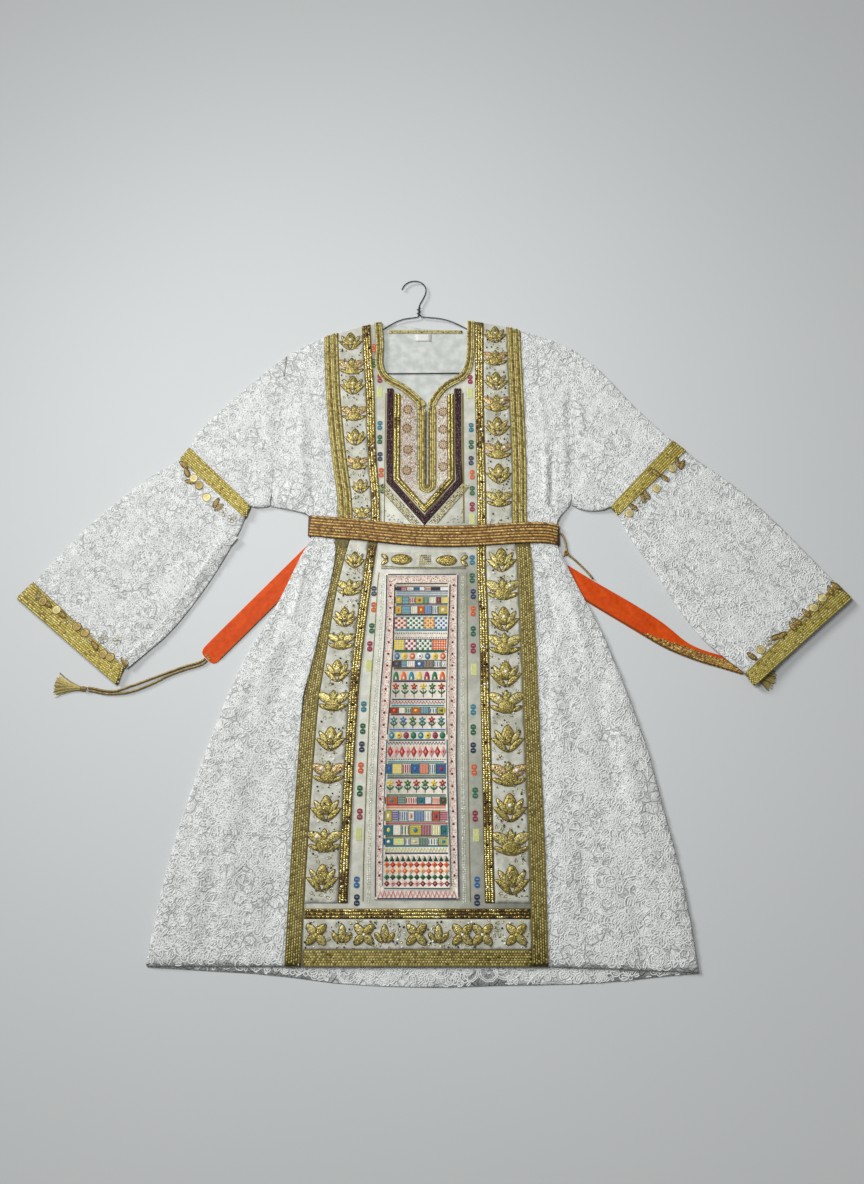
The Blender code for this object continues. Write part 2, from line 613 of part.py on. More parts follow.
def motif_cells(name, cells, finish_name):
    """A satin strip of cells in a row, each with one raised flower.

    Each cell gives its four corners, its flower's outline, half width, half height and rise.
    """
    places = [divmod(step, 3) for step in range(12)]
    points, faces = [], []
    for number, cell in enumerate(cells):
        corners = [np.array(corner, dtype=float) for corner in cell["corners"]]
        middle = sum(corners) / 4
        start, low = len(points), len(points) + 25
        ring = []
        for side, part in places:
            spot = corners[side] + (corners[(side + 1) % 4] - corners[side]) * part / 3
            if side in (1, 3) and "edges" in cell:
                spot[0] = cell["edges"][side == 1](spot[1])
            ring.append(spot)
        points += [(x, y, front_top(x, y) + GAP + SATIN) for x, y in ring]
        for edge in ring:
            angle = math.atan2(edge[1] - middle[1], edge[0] - middle[0])
            order = round((math.pi / 2 - angle) / (math.pi / 6)) % 12
            x = middle[0] + math.cos(angle) * cell["half_width"] * cell["outline"][order]
            y = middle[1] + math.sin(angle) * cell["half_height"] * cell["outline"][order]
            points.append((x, y, front_top(x, y) + GAP + SATIN + 0.25 * cell["rise"]))
        points.append((middle[0], middle[1], front_top(*middle) + GAP + SATIN + cell["rise"]))
        points += [(x, y, front_top(x, y) + GAP) for x, y in ring]
        for step, (side, part) in enumerate(places):
            after = (step + 1) % 12
            faces.append([start + step, start + after, start + 12 + after, start + 12 + step])
            faces.append([start + 12 + step, start + 12 + after, start + 24])
            first_end = side == 0 and number == 0
            last_end = side == 2 and number == len(cells) - 1
            if side in (1, 3) or first_end or last_end:
                faces.append([start + step, low + step, low + after, start + after])
        faces.append([low + step for step in reversed(range(12))])
    return mesh_object(name, points, faces, finish_name)


def make_back():
    """The back: flat on the surface, raised where the belt passes under it."""
    sides = list(zip(LEFT_SIDE, RIGHT_SIDE))
    rows = []
    for drop in SHOULDER_DROPS[:1] + SHOULDER_DROPS[3:]:
        rows.append(("top", -258.0 - drop * 0.06, 443.0 - drop, 245.0 - drop * 0.04, 454.0 - drop, drop))
    for left, right in sides[:-1]:
        rows.append(("row", left.outer_x, left.outer_y, right.outer_x, right.outer_y, 0))
    rows.append(("hem", -430.0, -562.0, 394.0, -571.0, 0))
    top, bottom = [], []
    for kind, left_x, left_y, right_x, right_y, drop in rows:
        top_row, bottom_row = [], []
        for place in BACK_COLUMNS:
            x = left_x + (right_x - left_x) * place
            y = left_y + (right_y - left_y) * place
            if kind == "top":
                inside = CENTRE_X - 72 < x < CENTRE_X + 66
                y = (BACK_NECK_Y if inside else shoulder_y(x)) - drop
            elif kind == "hem":
                y = back_hem_y(x)
            base = lift(x, y)
            top_row.append((x, y, base + WALL))
            bottom_row.append((x, y, base))
        top.append(top_row)
        bottom.append(bottom_row)
    return slab("back_panel", top, bottom, "lace")


def make_front_panel():
    """The satin front, with the neck and its slit cut out of it."""
    neck_rows = [row.y for row in NECK if row.y < 470] + [300.0, 250.0, SLIT_END_Y]
    rows = front_rows(470, HEM_Y, neck_rows)
    halves = []
    for side in ("left", "right"):
        top, bottom = [], []
        for row in rows:
            outer_x = PANEL_EDGE["braid_" + side](row[1] if row[0] == "y" else 480)
            guess = row[1] if row[0] == "y" else 509 - row[1]
            sign = -1 if side == "left" else 1
            if guess > NOTCH_Y:
                neck = neck_left if side == "left" else neck_right
                inner_x = neck(guess) + sign * GAP * 2
            elif guess > SLIT_END_Y + 1:
                inner_x = CENTRE_X + sign * SLIT_GAP / 2
            else:
                inner_x = CENTRE_X
            top_row, bottom_row = [], []
            for place in (0.0, 0.33, 0.66, 1.0):
                x = outer_x + (inner_x - outer_x) * place
                y = row_y(row, x)
                top_row.append((x, y, front_top(x, y)))
                bottom_row.append((x, y, front_top(x, y) - FRONT_WALL))
            top.append(top_row)
            bottom.append(bottom_row)
        halves.append((top, bottom))
    joined = join_halves(halves, rows)
    return mesh_object("front_panel", *joined, "satin")


def join_halves(halves, rows):
    """Points and faces of a panel whose two halves share their middle edge below the slit."""
    points, faces = [], []
    shared = next(i for i, row in enumerate(rows) if row == ("y", SLIT_END_Y))
    for number, (top, bottom) in enumerate(halves):
        start = len(points)
        columns = len(top[0])
        points += [point for row in top for point in row] + [point for row in bottom for point in row]
        under = len(top) * columns
        for i in range(len(top) - 1):
            for j in range(columns - 1):
                square = [start + i * columns + j, start + i * columns + j + 1,
                          start + (i + 1) * columns + j + 1, start + (i + 1) * columns + j]
                if number:
                    square.reverse()
                faces.append(square)
                faces.append([corner + under for corner in reversed(square)])
            for j in (0, columns - 1):
                if j == columns - 1 and i >= shared:
                    continue
                one, other = start + i * columns + j, start + (i + 1) * columns + j
                faces.append([one, other, other + under, one + under])
        for i in (0, len(top) - 1):
            for j in range(columns - 1):
                one, other = start + i * columns + j, start + i * columns + j + 1
                faces.append([one, other, other + under, one + under])
    return points, faces


def make_front_side(side):
    """The lace beside the front panel, from the shoulder over the waist to the hem."""
    table = LEFT_SIDE if side == "left" else RIGHT_SIDE
    sign = -1 if side == "left" else 1
    inner_edge = PANEL_EDGE["braid_" + side]
    armhole_top = SHOULDER[0] if side == "left" else SHOULDER[-1]
    outer = {name: straight([(row.inner_y, getattr(row, name)) for row in table])
             for name in ("outer_x", "outer_y", "seam")}
    heights = {row.inner_y for row in table}
    if side == "left":
        heights |= {row.y for row in PLEAT}
    rows = [("drop", drop, armhole_top.x - sign * GAP, armhole_top.y - drop, 0.0) for drop in SHOULDER_DROPS]
    for y in sorted(heights, reverse=True):
        rows.append(("y", y, outer["outer_x"](y), outer["outer_y"](y), outer["seam"](y)))
    top, bottom = [], []
    for kind, value, outer_x, outer_y, seam in rows:
        inner_y = value if kind == "y" else shoulder_y(inner_edge(480)) - value
        over = pleat_over(inner_y) if side == "left" else -GAP
        inner_x = inner_edge(inner_y if kind == "y" else 480) - sign * over
        length = abs(outer_x - inner_x)
        hold = max(over, 0.0) + 1.5
        open_run = length - 2 * ROLL_REACH - hold
        spots = [0.0, 1.5, 5.0, ROLL_REACH]
        spots += [ROLL_REACH + open_run * part for part in (0.33, 0.67, 1.0)] + [length - hold, length]
        top_row, bottom_row = [], []
        for spot in spots:
            place = spot / length
            x = outer_x + (inner_x - outer_x) * place
            y = outer_y + (inner_y - outer_y) * place
            if kind == "drop":
                y = shoulder_y(x) - value
            rise = 0.0
            if side == "left":
                rise = pleat_rise(inner_y) * soft_step(1 - (length - spot - hold) / ROLL_REACH)
            full = FRONT_BASE - shoulder_fall(x, y) + fold_height(x, y) + rise
            seam_z = lift(x, y) + WALL + GAP
            shape = 1 - seam * (1 - roll(spot))
            low = max(seam_z, seam_z + (full - seam_z) * shape)
            bottom_row.append((x, y, low))
            top_row.append((x, y, low + WALL))
        top.append(top_row)
        bottom.append(bottom_row)
    return slab("front_side_" + side, top, bottom, "lace")


def sleeve_loop(row):
    """A flat tube's cross-section: places along its line and heights, over the top and back under."""
    length = math.hypot(row.low_x - row.top_x, row.low_y - row.top_y)
    height = SLEEVE_HEIGHT + row.puff
    mid = height / 2
    loop = []
    for edge in SLEEVE_EDGE:
        loop.append((edge, mid + (height - mid) * roll(edge, SLEEVE_EDGE[-1])))
    for part in (0.3, 0.5, 0.7):
        loop.append((length * part, height))
    loop.append((length - row.tuck - 2.0, height))
    low_height = height - row.drop
    for edge in (row.tuck - 2.0, 3.2, 1.1):
        loop.append((length - edge, mid + (low_height - mid) * roll(edge, SLEEVE_EDGE[-1])))
    loop.append((length, mid))
    loop.append((length - 2.0, mid - mid * roll(2.0, SLEEVE_EDGE[-1])))
    for part in (0.92, 0.5, 0.08):
        loop.append((length * part, 0.0))
    loop.append((2.0, mid - mid * roll(2.0, SLEEVE_EDGE[-1])))
    return loop


def offset_loop(loop, distance):
    """The loop moved outwards by distance along its corners' normals."""
    moved = []
    for i, point in enumerate(loop):
        before, after = loop[i - 1], loop[(i + 1) % len(loop)]
        first = np.array((point[0] - before[0], point[1] - before[1]))
        second = np.array((after[0] - point[0], after[1] - point[1]))
        first = first / np.linalg.norm(first)
        second = second / np.linalg.norm(second)
        course = first + second
        course = course / np.linalg.norm(course)
        mitre = 1 / max(0.75, float(np.dot(course, second)))
        moved.append((point[0] - course[1] * distance * mitre, point[1] + course[0] * distance * mitre))
    return moved


def ring_points(row, distance):
    """The cross-section of a sleeve in its place, moved outwards by distance."""
    length = math.hypot(row.low_x - row.top_x, row.low_y - row.top_y)
    points = []
    for spot, height in offset_loop(sleeve_loop(row), distance):
        x = row.top_x + (row.low_x - row.top_x) * spot / length
        y = row.top_y + (row.low_y - row.top_y) * spot / length
        points.append((x, y, height + row.base + lift(x, y)))
    return points


def between(one, other, part):
    """A sleeve section part of the way from one to another."""
    return SleeveRow(*(a + (b - a) * part for a, b in zip(one, other)))


def make_sleeve(name, table):
    """One stretch of sleeve: an open flat tube of lace."""
    outer = [ring_points(row, 0.0) for row in table]
    inner = [ring_points(row, -WALL) for row in table]
    return tube(name, outer, inner, "lace")


def make_band(name, edge_rows):
    """A braid band round a sleeve, with ribs along it."""
    stations = []
    steps = 2 * BAND_RIBS
    for step in range(steps + 1):
        part = step / steps * (len(edge_rows) - 1)
        i = min(int(part), len(edge_rows) - 2)
        row = between(edge_rows[i], edge_rows[i + 1], part - i)
        stations.append((row, BAND if step % 2 else BAND - 0.5))
    outer = [ring_points(row, GAP + thick) for row, thick in stations]
    inner = [ring_points(row, GAP) for row, _ in stations]
    return tube(name, outer, inner, "gold_braid")


def make_sleeves():
    """Both sleeves with the bands round their elbows and cuffs."""
    for side, upper, lower in (("left", LEFT_UPPER, LEFT_LOWER), ("right", RIGHT_UPPER, RIGHT_LOWER)):
        make_sleeve("upper_sleeve_" + side, upper)
        make_sleeve("lower_sleeve_" + side, lower)
        make_band("elbow_band_" + side, (upper[-2], upper[-1], lower[1]))
        make_band("cuff_band_" + side, lower[-3:])


def make_front_braids():
    """The wide braids, motif strips and sequin braids down the front, and those across the hem."""
    wide = rib_profile(3, BRAID)
    narrow = rib_profile(2, BRAID - 0.4)
    rows = front_rows(470, HEM_Y)
    short_rows = front_rows(470, STRIPS_END)
    for side, sign in (("left", 1), ("right", -1)):
        outer = PANEL_EDGE["braid_" + side]
        middle = PANEL_EDGE["sequin_" + side]
        low_edge = 0.0 if side == "left" else -OUTER_BRAID_WIDTH
        half = SEQUIN_BRAID_WIDTH / 2
        along_strip("outer_braid_" + side, lambda y: outer(y) + low_edge + GAP * sign,
                    lambda y: outer(y) + low_edge + OUTER_BRAID_WIDTH + GAP * sign, rows, wide, "gold_braid")
        along_strip("sequin_braid_" + side, lambda y: middle(y) - half, lambda y: middle(y) + half,
                    short_rows, narrow, "gold_braid")
        inner_edge = lambda y: outer(y) + sign * (OUTER_BRAID_WIDTH + 3 * GAP)
        braid_edge = lambda y: middle(y) - sign * (half + 2 * GAP)
        left, right = (inner_edge, braid_edge) if side == "left" else (braid_edge, inner_edge)
        centres = LEFT_MOTIFS_Y if side == "left" else RIGHT_MOTIFS_Y
        motif_cells("motif_strip_" + side, column_cells(left, right, centres), "gold_flowers")
    hem_left = PANEL_EDGE["braid_left"](SEQUIN_BAND_TOP) + OUTER_BRAID_WIDTH + 3 * GAP
    hem_right = PANEL_EDGE["braid_right"](HEM_Y) - OUTER_BRAID_WIDTH - 3 * GAP
    cross_strip("hem_braid", hem_left, hem_right, HEM_BRAID_TOP, HEM_Y, wide)
    cross_strip("sequin_band", hem_left + 0.6, hem_right, SEQUIN_BAND_TOP, SEQUIN_BAND_BOTTOM, narrow)
    cells = []
    top_y, low_y = SEQUIN_BAND_BOTTOM - GAP, HEM_BRAID_TOP + GAP
    marks = [hem_left + 1.0] + [(a + b) / 2 for a, b in zip(HEM_MOTIFS_X, HEM_MOTIFS_X[1:])] + [hem_right]
    for number, (start, end) in enumerate(zip(marks, marks[1:])):
        outline = LEAF_OUTLINE if number % 2 else CROSS_OUTLINE
        cells.append({"corners": ((start, low_y), (start, top_y), (end, top_y), (end, low_y)),
                      "outline": outline, "rise": MOTIF_RISE,
                      "half_width": (end - start) * 0.46, "half_height": (top_y - low_y) * 0.46})
    motif_cells("hem_motif_strip", cells, "gold_flowers")


def column_cells(left, right, centres):
    """Cells down a motif strip, plain where the belt lies over it."""
    first = [shoulder_y(edge(480)) - SHOULDER_DROPS[-1] for edge in (left, right)]
    marks = [None]
    for above, below in zip(centres, centres[1:]):
        if above - below > 70:
            marks += [PLAIN_TOP, PLAIN_LOW]
        else:
            marks.append((above + below) / 2)
    marks.append(STRIPS_END)
    cells = []
    number = 0
    for start, end in zip(marks, marks[1:]):
        start_left, start_right = first if start is None else (start, start)
        mean = (start_left + start_right) / 2
        corners = ((left(mean), start_left), (right(mean), start_right), (right(end), end), (left(end), end))
        plain = start == PLAIN_TOP
        width = right(mean) - left(mean)
        cells.append({"corners": corners, "edges": (left, right),
                      "outline": FAN_OUTLINE if number % 2 else BUD_OUTLINE,
                      "rise": PLAIN_RISE if plain else MOTIF_RISE,
                      "half_width": width * 0.47, "half_height": (mean - end) * 0.44})
        number += 0 if plain else 1
    return cells


def cross_strip(name, left_x, right_x, top_y, low_y, profile):
    """A ribbed strip across the front panel between two edges."""
    top, bottom = [], []
    for x in np.linspace(left_x, right_x, 5):
        base = FRONT_TOP + GAP
        top.append([(x, low_y + (top_y - low_y) * place, base + height) for place, height in profile])
        bottom.append([(x, low_y + (top_y - low_y) * place, base) for place, _ in profile])
    return strip_body(name, top, bottom, "gold_braid")


def make_neck():
    """Bindings of the front and back neckline, the slit's braid and the bare label."""
    profile = rib_profile(2, BRAID - 0.3)
    for side, sign in (("left", -1), ("right", 1)):
        path = [(getattr(row, side), row.y) for row in NECK]
        peak_y = shoulder_y(path[0][0] + sign * 8)
        path[0] = (path[0][0], peak_y)
        fine = smooth_path(path, 16)
        path_strip("neck_binding_" + side, fine, float(sign),
                   BINDING_WIDTH, profile, "gold_braid", binding_base)
    back = [(x, BACK_NECK_Y - BACK_BINDING_WIDTH - 1) for x in np.linspace(CENTRE_X - 68, CENTRE_X + 62, 8)]
    path_strip("neck_binding_back", back, 1.0, BACK_BINDING_WIDTH, ((0, 0.9), (0.5, 1.1), (1, 0.9)),
               "gold_braid", lambda x, y: WALL)
    half = SLIT_GAP / 2 + GAP
    top_y = NOTCH_Y - 12.0
    path = [(CENTRE_X - half, top_y), (CENTRE_X - half, SLIT_END_Y + 4)]
    for step in range(1, 8):
        angle = math.pi + math.pi * step / 8
        path.append((CENTRE_X + half * math.cos(angle), SLIT_END_Y + 4 + half * math.sin(angle)))
    path += [(CENTRE_X + half, SLIT_END_Y + 4), (CENTRE_X + half, top_y)]
    path_strip("slit_braid", path, -1.0, SLIT_BRAID_WIDTH, profile, "gold_braid", front_top)
    label_x, label_y = (-34.0, -5.0), (471.0, 485.5)
    top = [[(x, y, WALL + GAP + 0.6) for x in label_x] for y in label_y]
    bottom = [[(x, y, WALL + GAP) for x in label_x] for y in label_y]
    slab("neck_label", top, bottom, "label")


def binding_base(x, y):
    """The neck binding lies on the front panel and dips with it at the shoulder."""
    return front_top(x, min(y, shoulder_y(x)) - 3.0) + 0.1


def make_plastron():
    """The shield-shaped beaded band round the slit, and the gold braid inside it."""
    left_x, right_x = CENTRE_X - 69.5, CENTRE_X + 59.0
    shoulder_left, shoulder_right, turn_y, point_y = 378.0, 378.0, 205.0, 129.5
    path = [(left_x, shoulder_left), (left_x, turn_y + 40), (left_x + 1.5, turn_y), (CENTRE_X - 4, point_y),
            (right_x + 1.5, turn_y), (right_x, turn_y + 40), (right_x, shoulder_right)]
    path_strip("plastron_band", path, 1.0, PLASTRON_WIDTH, rib_profile(2, 1.6), "dark_beads", front_top)
    inset = PLASTRON_WIDTH + 2.0
    top_y = 368.0
    path = [(left_x + inset, top_y), (left_x + inset, turn_y + 40), (left_x + inset + 1.5, turn_y + 5),
            (CENTRE_X - 4, point_y + inset * 1.62), (right_x - inset + 1.5, turn_y + 5),
            (right_x - inset, turn_y + 40), (right_x - inset, top_y)]
    path_strip("plastron_braid", path, 1.0, PLASTRON_BRAID_WIDTH, rib_profile(2, 1.4), "gold_braid",
               front_top)


def make_colour_panel():
    """The strip with two ovals and the banded panel with its raised frames, below the belt."""
    low, high = 54.0, 82.0
    cells = []
    for start, end in ((-88.0, -24.0), (-24.0, 52.0)):
        cells.append({"corners": ((start, low), (start, high), (end, high), (end, low)),
                      "outline": LEAF_OUTLINE, "rise": 0.8,
                      "half_width": (end - start) * 0.42, "half_height": (high - low) * 0.6})
    motif_cells("oval_strip", cells, "gold_flowers")
    left = straight([(46, -81), (-16, -80.5), (-130, -88), (-272, -91), (-465, -92)])
    right = straight([(46, 40.5), (-16, 38.5), (-130, 38), (-272, 35.5), (-465, 38.5)])
    top_y, low_y = 46.0, -465.0
    frame = ((0.0, 0.9), (3.4, 0.9), (4.6, 0.0), (13.0, 0.0), (14.0, 0.8), (16.6, 0.8), (17.6, 0.0))
    rows = [(top_y - spot, rise) for spot, rise in frame]
    rows += [(y, 0.0) for y in (-16.0, -130.0, -272.0)]
    rows += [(low_y + spot, rise) for spot, rise in reversed(frame)]
    top, bottom = [], []
    for number, (y, rise) in enumerate(rows):
        edge_step = min(number, len(rows) - 1 - number)
        columns = [(left(y) + spot, value, k) for k, (spot, value) in enumerate(frame)]
        columns += [(right(y) - spot, value, k) for k, (spot, value) in reversed(list(enumerate(frame)))]
        top_row, bottom_row = [], []
        for x, value, k in columns:
            height = value if k <= edge_step else (rise if edge_step < len(frame) else 0.0)
            top_row.append((x, y, FRONT_TOP + GAP + SATIN + height))
            bottom_row.append((x, y, FRONT_TOP + GAP))
        top.append(top_row)
        bottom.append(bottom_row)
    slab("colour_panel", top, bottom, "bands", plain_under=True)


def make_belt():
    """The belt goes round the waist: cords over the front, flat under the back."""
    inner = [(point.x, point.z) for point in BELT_LOOP + BELT_UNDER]
    ribs = 2 * BELT_CORDS
    sections = []
    outer_by_height = {}
    for height in (BELT_THICK, BELT_THICK - 0.9, BELT_BACK_THICK):
        outer_by_height[height] = offset_loop(inner, height)
    for number, (x, z) in enumerate(inner):
        under = number >= len(BELT_LOOP)
        middle = belt_y(x)
        if under:
            middle = 128.5 + (112.5 - 128.5) * (x + 206) / 411
        section = []
        for rib in range(ribs + 1):
            height = BELT_THICK if rib % 2 else BELT_THICK - 0.9
            if under:
                height = BELT_BACK_THICK
            out_x, out_z = outer_by_height[height][number]
            section.append((out_x, middle - BELT_WIDTH / 2 + BELT_WIDTH * rib / ribs, max(out_z, 0.0)))
        section.append((x, middle + BELT_WIDTH / 2, z))
        section.append((x, middle - BELT_WIDTH / 2, z))
        sections.append(section)
    closed_loop("belt", sections, "belt_cord")


def tail_slab(name, edges):
    """A flat end of the belt through pairs of edge points and the height that it rises by."""
    top, bottom = [], []
    for (one_x, one_y), (other_x, other_y), rise in edges:
        top_row, bottom_row = [], []
        for place, height in ((0.0, 0.7), (0.06, 1.0), (0.5, 1.1), (0.94, 1.0), (1.0, 0.7)):
            x = one_x + (other_x - one_x) * place
            y = one_y + (other_y - one_y) * place
            base = rise * place
            top_row.append((x, y, base + TAIL_THICK * height))
            bottom_row.append((x, y, base * 0.5))
        top.append(top_row)
        bottom.append(bottom_row)
    return slab(name, top, bottom, "orange_satin")


def make_belt_ends():
    """The belt's two satin-lined ends, lying on the surface beside the skirt."""
    start, end = np.array(LEFT_TAIL_START), np.array(LEFT_TAIL_END)
    course = (end - start) / np.linalg.norm(end - start)
    across = np.array((course[1], -course[0]))
    length = float(np.linalg.norm(end - start))
    edges = []
    for back, half in ((length, 1.0), (0.75 * length, 1.0), (0.5 * length, 1.0), (0.25 * length, 1.0),
                       (16.0, 1.0), (8.0, 0.95), (3.0, 0.82), (0.6, 0.62), (0.0, 0.42)):
        spot = end - course * back
        reach = across * TAIL_WIDTH / 2 * half
        edges.append((tuple(spot + reach), tuple(spot - reach), 0.0))
    tail_slab("belt_end_left", edges)
    tail_slab("belt_end_right",
              [((row.top_x, row.top_y), (row.low_x, row.low_y), row.rise) for row in RIGHT_TAIL])


def make_cord(name, points, finish_name, diameter, resolution=2):
    """A round cord or wire along points in millimetres."""
    curve = bpy.data.curves.new(name, "CURVE")
    curve.dimensions = "3D"
    curve.bevel_depth = diameter / 2 * MM
    curve.bevel_resolution = resolution
    curve.use_fill_caps = True
    spline = curve.splines.new("POLY")
    spline.points.add(len(points) - 1)
    for spot, point in zip(spline.points, points):
        spot.co = (point[0] * MM, point[1] * MM, point[2] * MM, 1)
    obj = bpy.data.objects.new(name, curve)
    bpy.context.collection.objects.link(obj)
    return finish(name, obj, finish_name)


def make_cords():
    """The doubled cord at the left and the single one at the right, lying on the surface."""
    for name, route in (("cord_left_upper", LEFT_CORD), ("cord_left_lower", LEFT_CORD_LOWER),
                        ("cord_right", RIGHT_CORD)):
        count = int(path_length(route) / CORD_STEP)
        points = [(x, y, CORD / 2 + 0.05) for x, y in smooth_path(route, count)]
        make_cord(name, points, "belt_cord", CORD)


def make_tassel(tassel):
    """A bound head with strands that fan out from it, fused at their roots."""
    angle = math.radians(tassel.angle)
    forward = np.array((math.cos(angle), math.sin(angle)))
    head = bmesh.new()
    bmesh.ops.create_icosphere(head, subdivisions=2, radius=1.0)
    for vert in head.verts:
        along, across = vert.co.x * tassel.head_length / 2, vert.co.y * tassel.head_width / 2
        x = tassel.x + forward[0] * along - forward[1] * across
        y = tassel.y + forward[1] * along + forward[0] * across
        vert.co = (x * MM, y * MM, (vert.co.z * 1.75 + 1.85) * MM)
    head_mesh = bpy.data.meshes.new(tassel.name)
    head.to_mesh(head_mesh)
    head.free()
    obj = bpy.data.objects.new(tassel.name, head_mesh)
    bpy.context.collection.objects.link(obj)
    strands = bmesh.new()
    for layer in range(STRAND_LAYERS):
        for number in range(STRANDS_ACROSS):
            place = (number + 0.5 * layer + 0.25) / STRANDS_ACROSS - 0.5
            add_strand(strands, tassel, forward, place, layer, number)
    strand_mesh = bpy.data.meshes.new(tassel.name + "_strands")
    strands.to_mesh(strand_mesh)
    strands.free()
    cutter = bpy.data.objects.new(tassel.name + "_strands", strand_mesh)
    bpy.context.collection.objects.link(cutter)
    cutter.hide_render = True
    cutter.display_type = "WIRE"
    union = obj.modifiers.new("Strands", "BOOLEAN")
    union.operation = "UNION"
    union.solver = "EXACT"
    union.object = cutter
    finish(tassel.name, obj, "gold_braid")
    return obj


def add_strand(strands, tassel, forward, place, layer, number):
    """One three-sided strand, thin at its root, full in its middle and thin again at its tip."""
    turn = math.radians(tassel.fan) * place
    course = np.array((forward[0] * math.cos(turn) - forward[1] * math.sin(turn),
                       forward[1] * math.cos(turn) + forward[0] * math.sin(turn)))
    side = np.array((-course[1], course[0]))
    origin = np.array((tassel.x, tassel.y)) + np.array((-forward[1], forward[0])) * place * 5.5
    reach = tassel.length * (1.0 - 0.08 * ((number * 7 + layer * 3) % 5) / 4)
    rings = []
    for along, radius, height in ((1.0, 0.28, 1.2 + 1.2 * layer), (reach * 0.5, 0.62, 0.95 + 1.35 * layer),
                                  (reach, 0.35, 0.6 + 1.15 * layer)):
        middle = origin + course * along
        ring = []
        for corner in range(3):
            theta = math.pi / 2 + corner * 2 * math.pi / 3
            spot = middle + side * radius * math.cos(theta)
            ring.append(strands.verts.new((spot[0] * MM, spot[1] * MM,
                                           (height + radius * math.sin(theta)) * MM)))
        rings.append(ring)
    for one, other in zip(rings, rings[1:]):
        for corner in range(3):
            after = (corner + 1) % 3
            strands.faces.new((one[corner], other[corner], other[after], one[after]))
    strands.faces.new(rings[0])
    strands.faces.new(list(reversed(rings[-1])))


def make_hanger():
    """One bent wire: hook, shank, arms, bottom bar, and its end twisted round the shank."""
    in_z, out_z = 3.0, 3.8
    hook = [(x, y, out_z) for x, y in smooth_path(HOOK, 13)]
    shank = [(TWIST_X, TWIST_Y, out_z), (TWIST_X, TWIST_Y - 7.5, out_z)]
    left = [(x, y) for x, y in smooth_path(LEFT_ARM, 10)]
    right = [(x, y) for x, y in smooth_path(RIGHT_ARM, 10)]

    def arm_z(x, y):
        """Down from the twist to the space between front and back."""
        return straight([(499, in_z), (512, out_z)])(y)

    path = hook + shank + [(x, y, arm_z(x, y)) for x, y in left]
    path += arm_end(BAR_LEFT, left[-1], math.pi, in_z)
    path += [(BAR_LEFT[0] + 30, BAR_LEFT[1] - 0.5, in_z), (BAR_RIGHT[0] - 30, BAR_RIGHT[1] - 0.5, in_z)]
    path += arm_end(BAR_RIGHT, right[-1], 0.0, in_z)
    path += [(x, y, arm_z(x, y)) for x, y in reversed(right)]
    radius = WIRE + 0.45
    start = (TWIST_X, TWIST_Y - 4.5)
    turns = int(TWIST_TURNS * 8)
    for step in range(turns + 1):
        angle = step / 8 * 2 * math.pi
        y = start[1] + TWIST_LENGTH * step / turns
        path.append((start[0] + radius * math.cos(angle), y, out_z + 0.1 + radius * math.sin(angle)))
    make_cord("hanger", path, "wire", WIRE, 1)


def arm_end(bar, last, side, z):
    """The rounded end of the hanger between an arm and the bottom bar."""
    sign = -1 if side else 1
    points = []
    centre = (bar[0] + sign * 2.0, bar[1] + ARM_END_RADIUS)
    angles = (70, 35, 0, -35, -70) if sign > 0 else (110, 145, 180, 215, 250)
    for angle in angles:
        theta = math.radians(angle)
        points.append((centre[0] + ARM_END_RADIUS * math.cos(theta),
                       centre[1] + ARM_END_RADIUS * math.sin(theta), z))
    return points if sign < 0 else list(reversed(points))


def main():
    for obj in list(bpy.data.objects):
        bpy.data.objects.remove(obj, do_unlink=True)
    make_back()
    make_front_panel()
    for side in ("left", "right"):
        make_front_side(side)
    make_sleeves()
    make_front_braids()
    make_neck()
    make_plastron()
    make_colour_panel()
    make_belt()
    make_belt_ends()
    make_cords()
    for tassel in TASSELS:
        make_tassel(tassel)
    make_hanger()


main()
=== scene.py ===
"""A white lace dress with an embroidered front and a corded belt, laid flat on a pale floor.

All sizes are in millimetres and MM turns them into metres. +Y points to the neck, +Z out of the floor.
"""
import math

import bmesh
import bpy
import numpy as np
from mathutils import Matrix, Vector
from mathutils.bvhtree import BVHTree


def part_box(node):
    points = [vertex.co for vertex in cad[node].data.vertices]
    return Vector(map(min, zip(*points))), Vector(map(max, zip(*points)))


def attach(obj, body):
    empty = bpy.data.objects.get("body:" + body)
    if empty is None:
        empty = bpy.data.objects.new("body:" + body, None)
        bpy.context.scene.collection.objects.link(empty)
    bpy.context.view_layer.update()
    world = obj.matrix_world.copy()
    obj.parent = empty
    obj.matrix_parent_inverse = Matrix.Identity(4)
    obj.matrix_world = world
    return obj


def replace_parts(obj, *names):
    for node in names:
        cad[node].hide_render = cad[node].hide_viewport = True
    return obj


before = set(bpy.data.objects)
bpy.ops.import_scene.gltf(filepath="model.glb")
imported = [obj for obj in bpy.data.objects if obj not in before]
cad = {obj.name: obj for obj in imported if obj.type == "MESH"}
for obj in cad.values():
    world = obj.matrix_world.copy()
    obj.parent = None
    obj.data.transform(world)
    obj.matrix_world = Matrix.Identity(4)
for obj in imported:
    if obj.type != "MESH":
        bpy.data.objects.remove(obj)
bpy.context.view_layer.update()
MM = 0.001

# The floor is plain pale paper. Soft light from a window comes from the upper left, and a round lamp
# under the ceiling brightens the middle. The camera looks down from over the hem at the whole dress.
bpy.ops.object.select_all(action="DESELECT")
bpy.ops.object.camera_add(location=(-0.00374, -0.32664, 1.42792), rotation=(math.radians(13.5), 0, 0))
camera = bpy.context.object
camera.name = "camera"
camera.data.lens = 27.06
camera.data.sensor_width = 36.0
camera.data.sensor_fit = "AUTO"
bpy.context.scene.camera = camera
bpy.context.scene.view_settings.view_transform = "Standard"


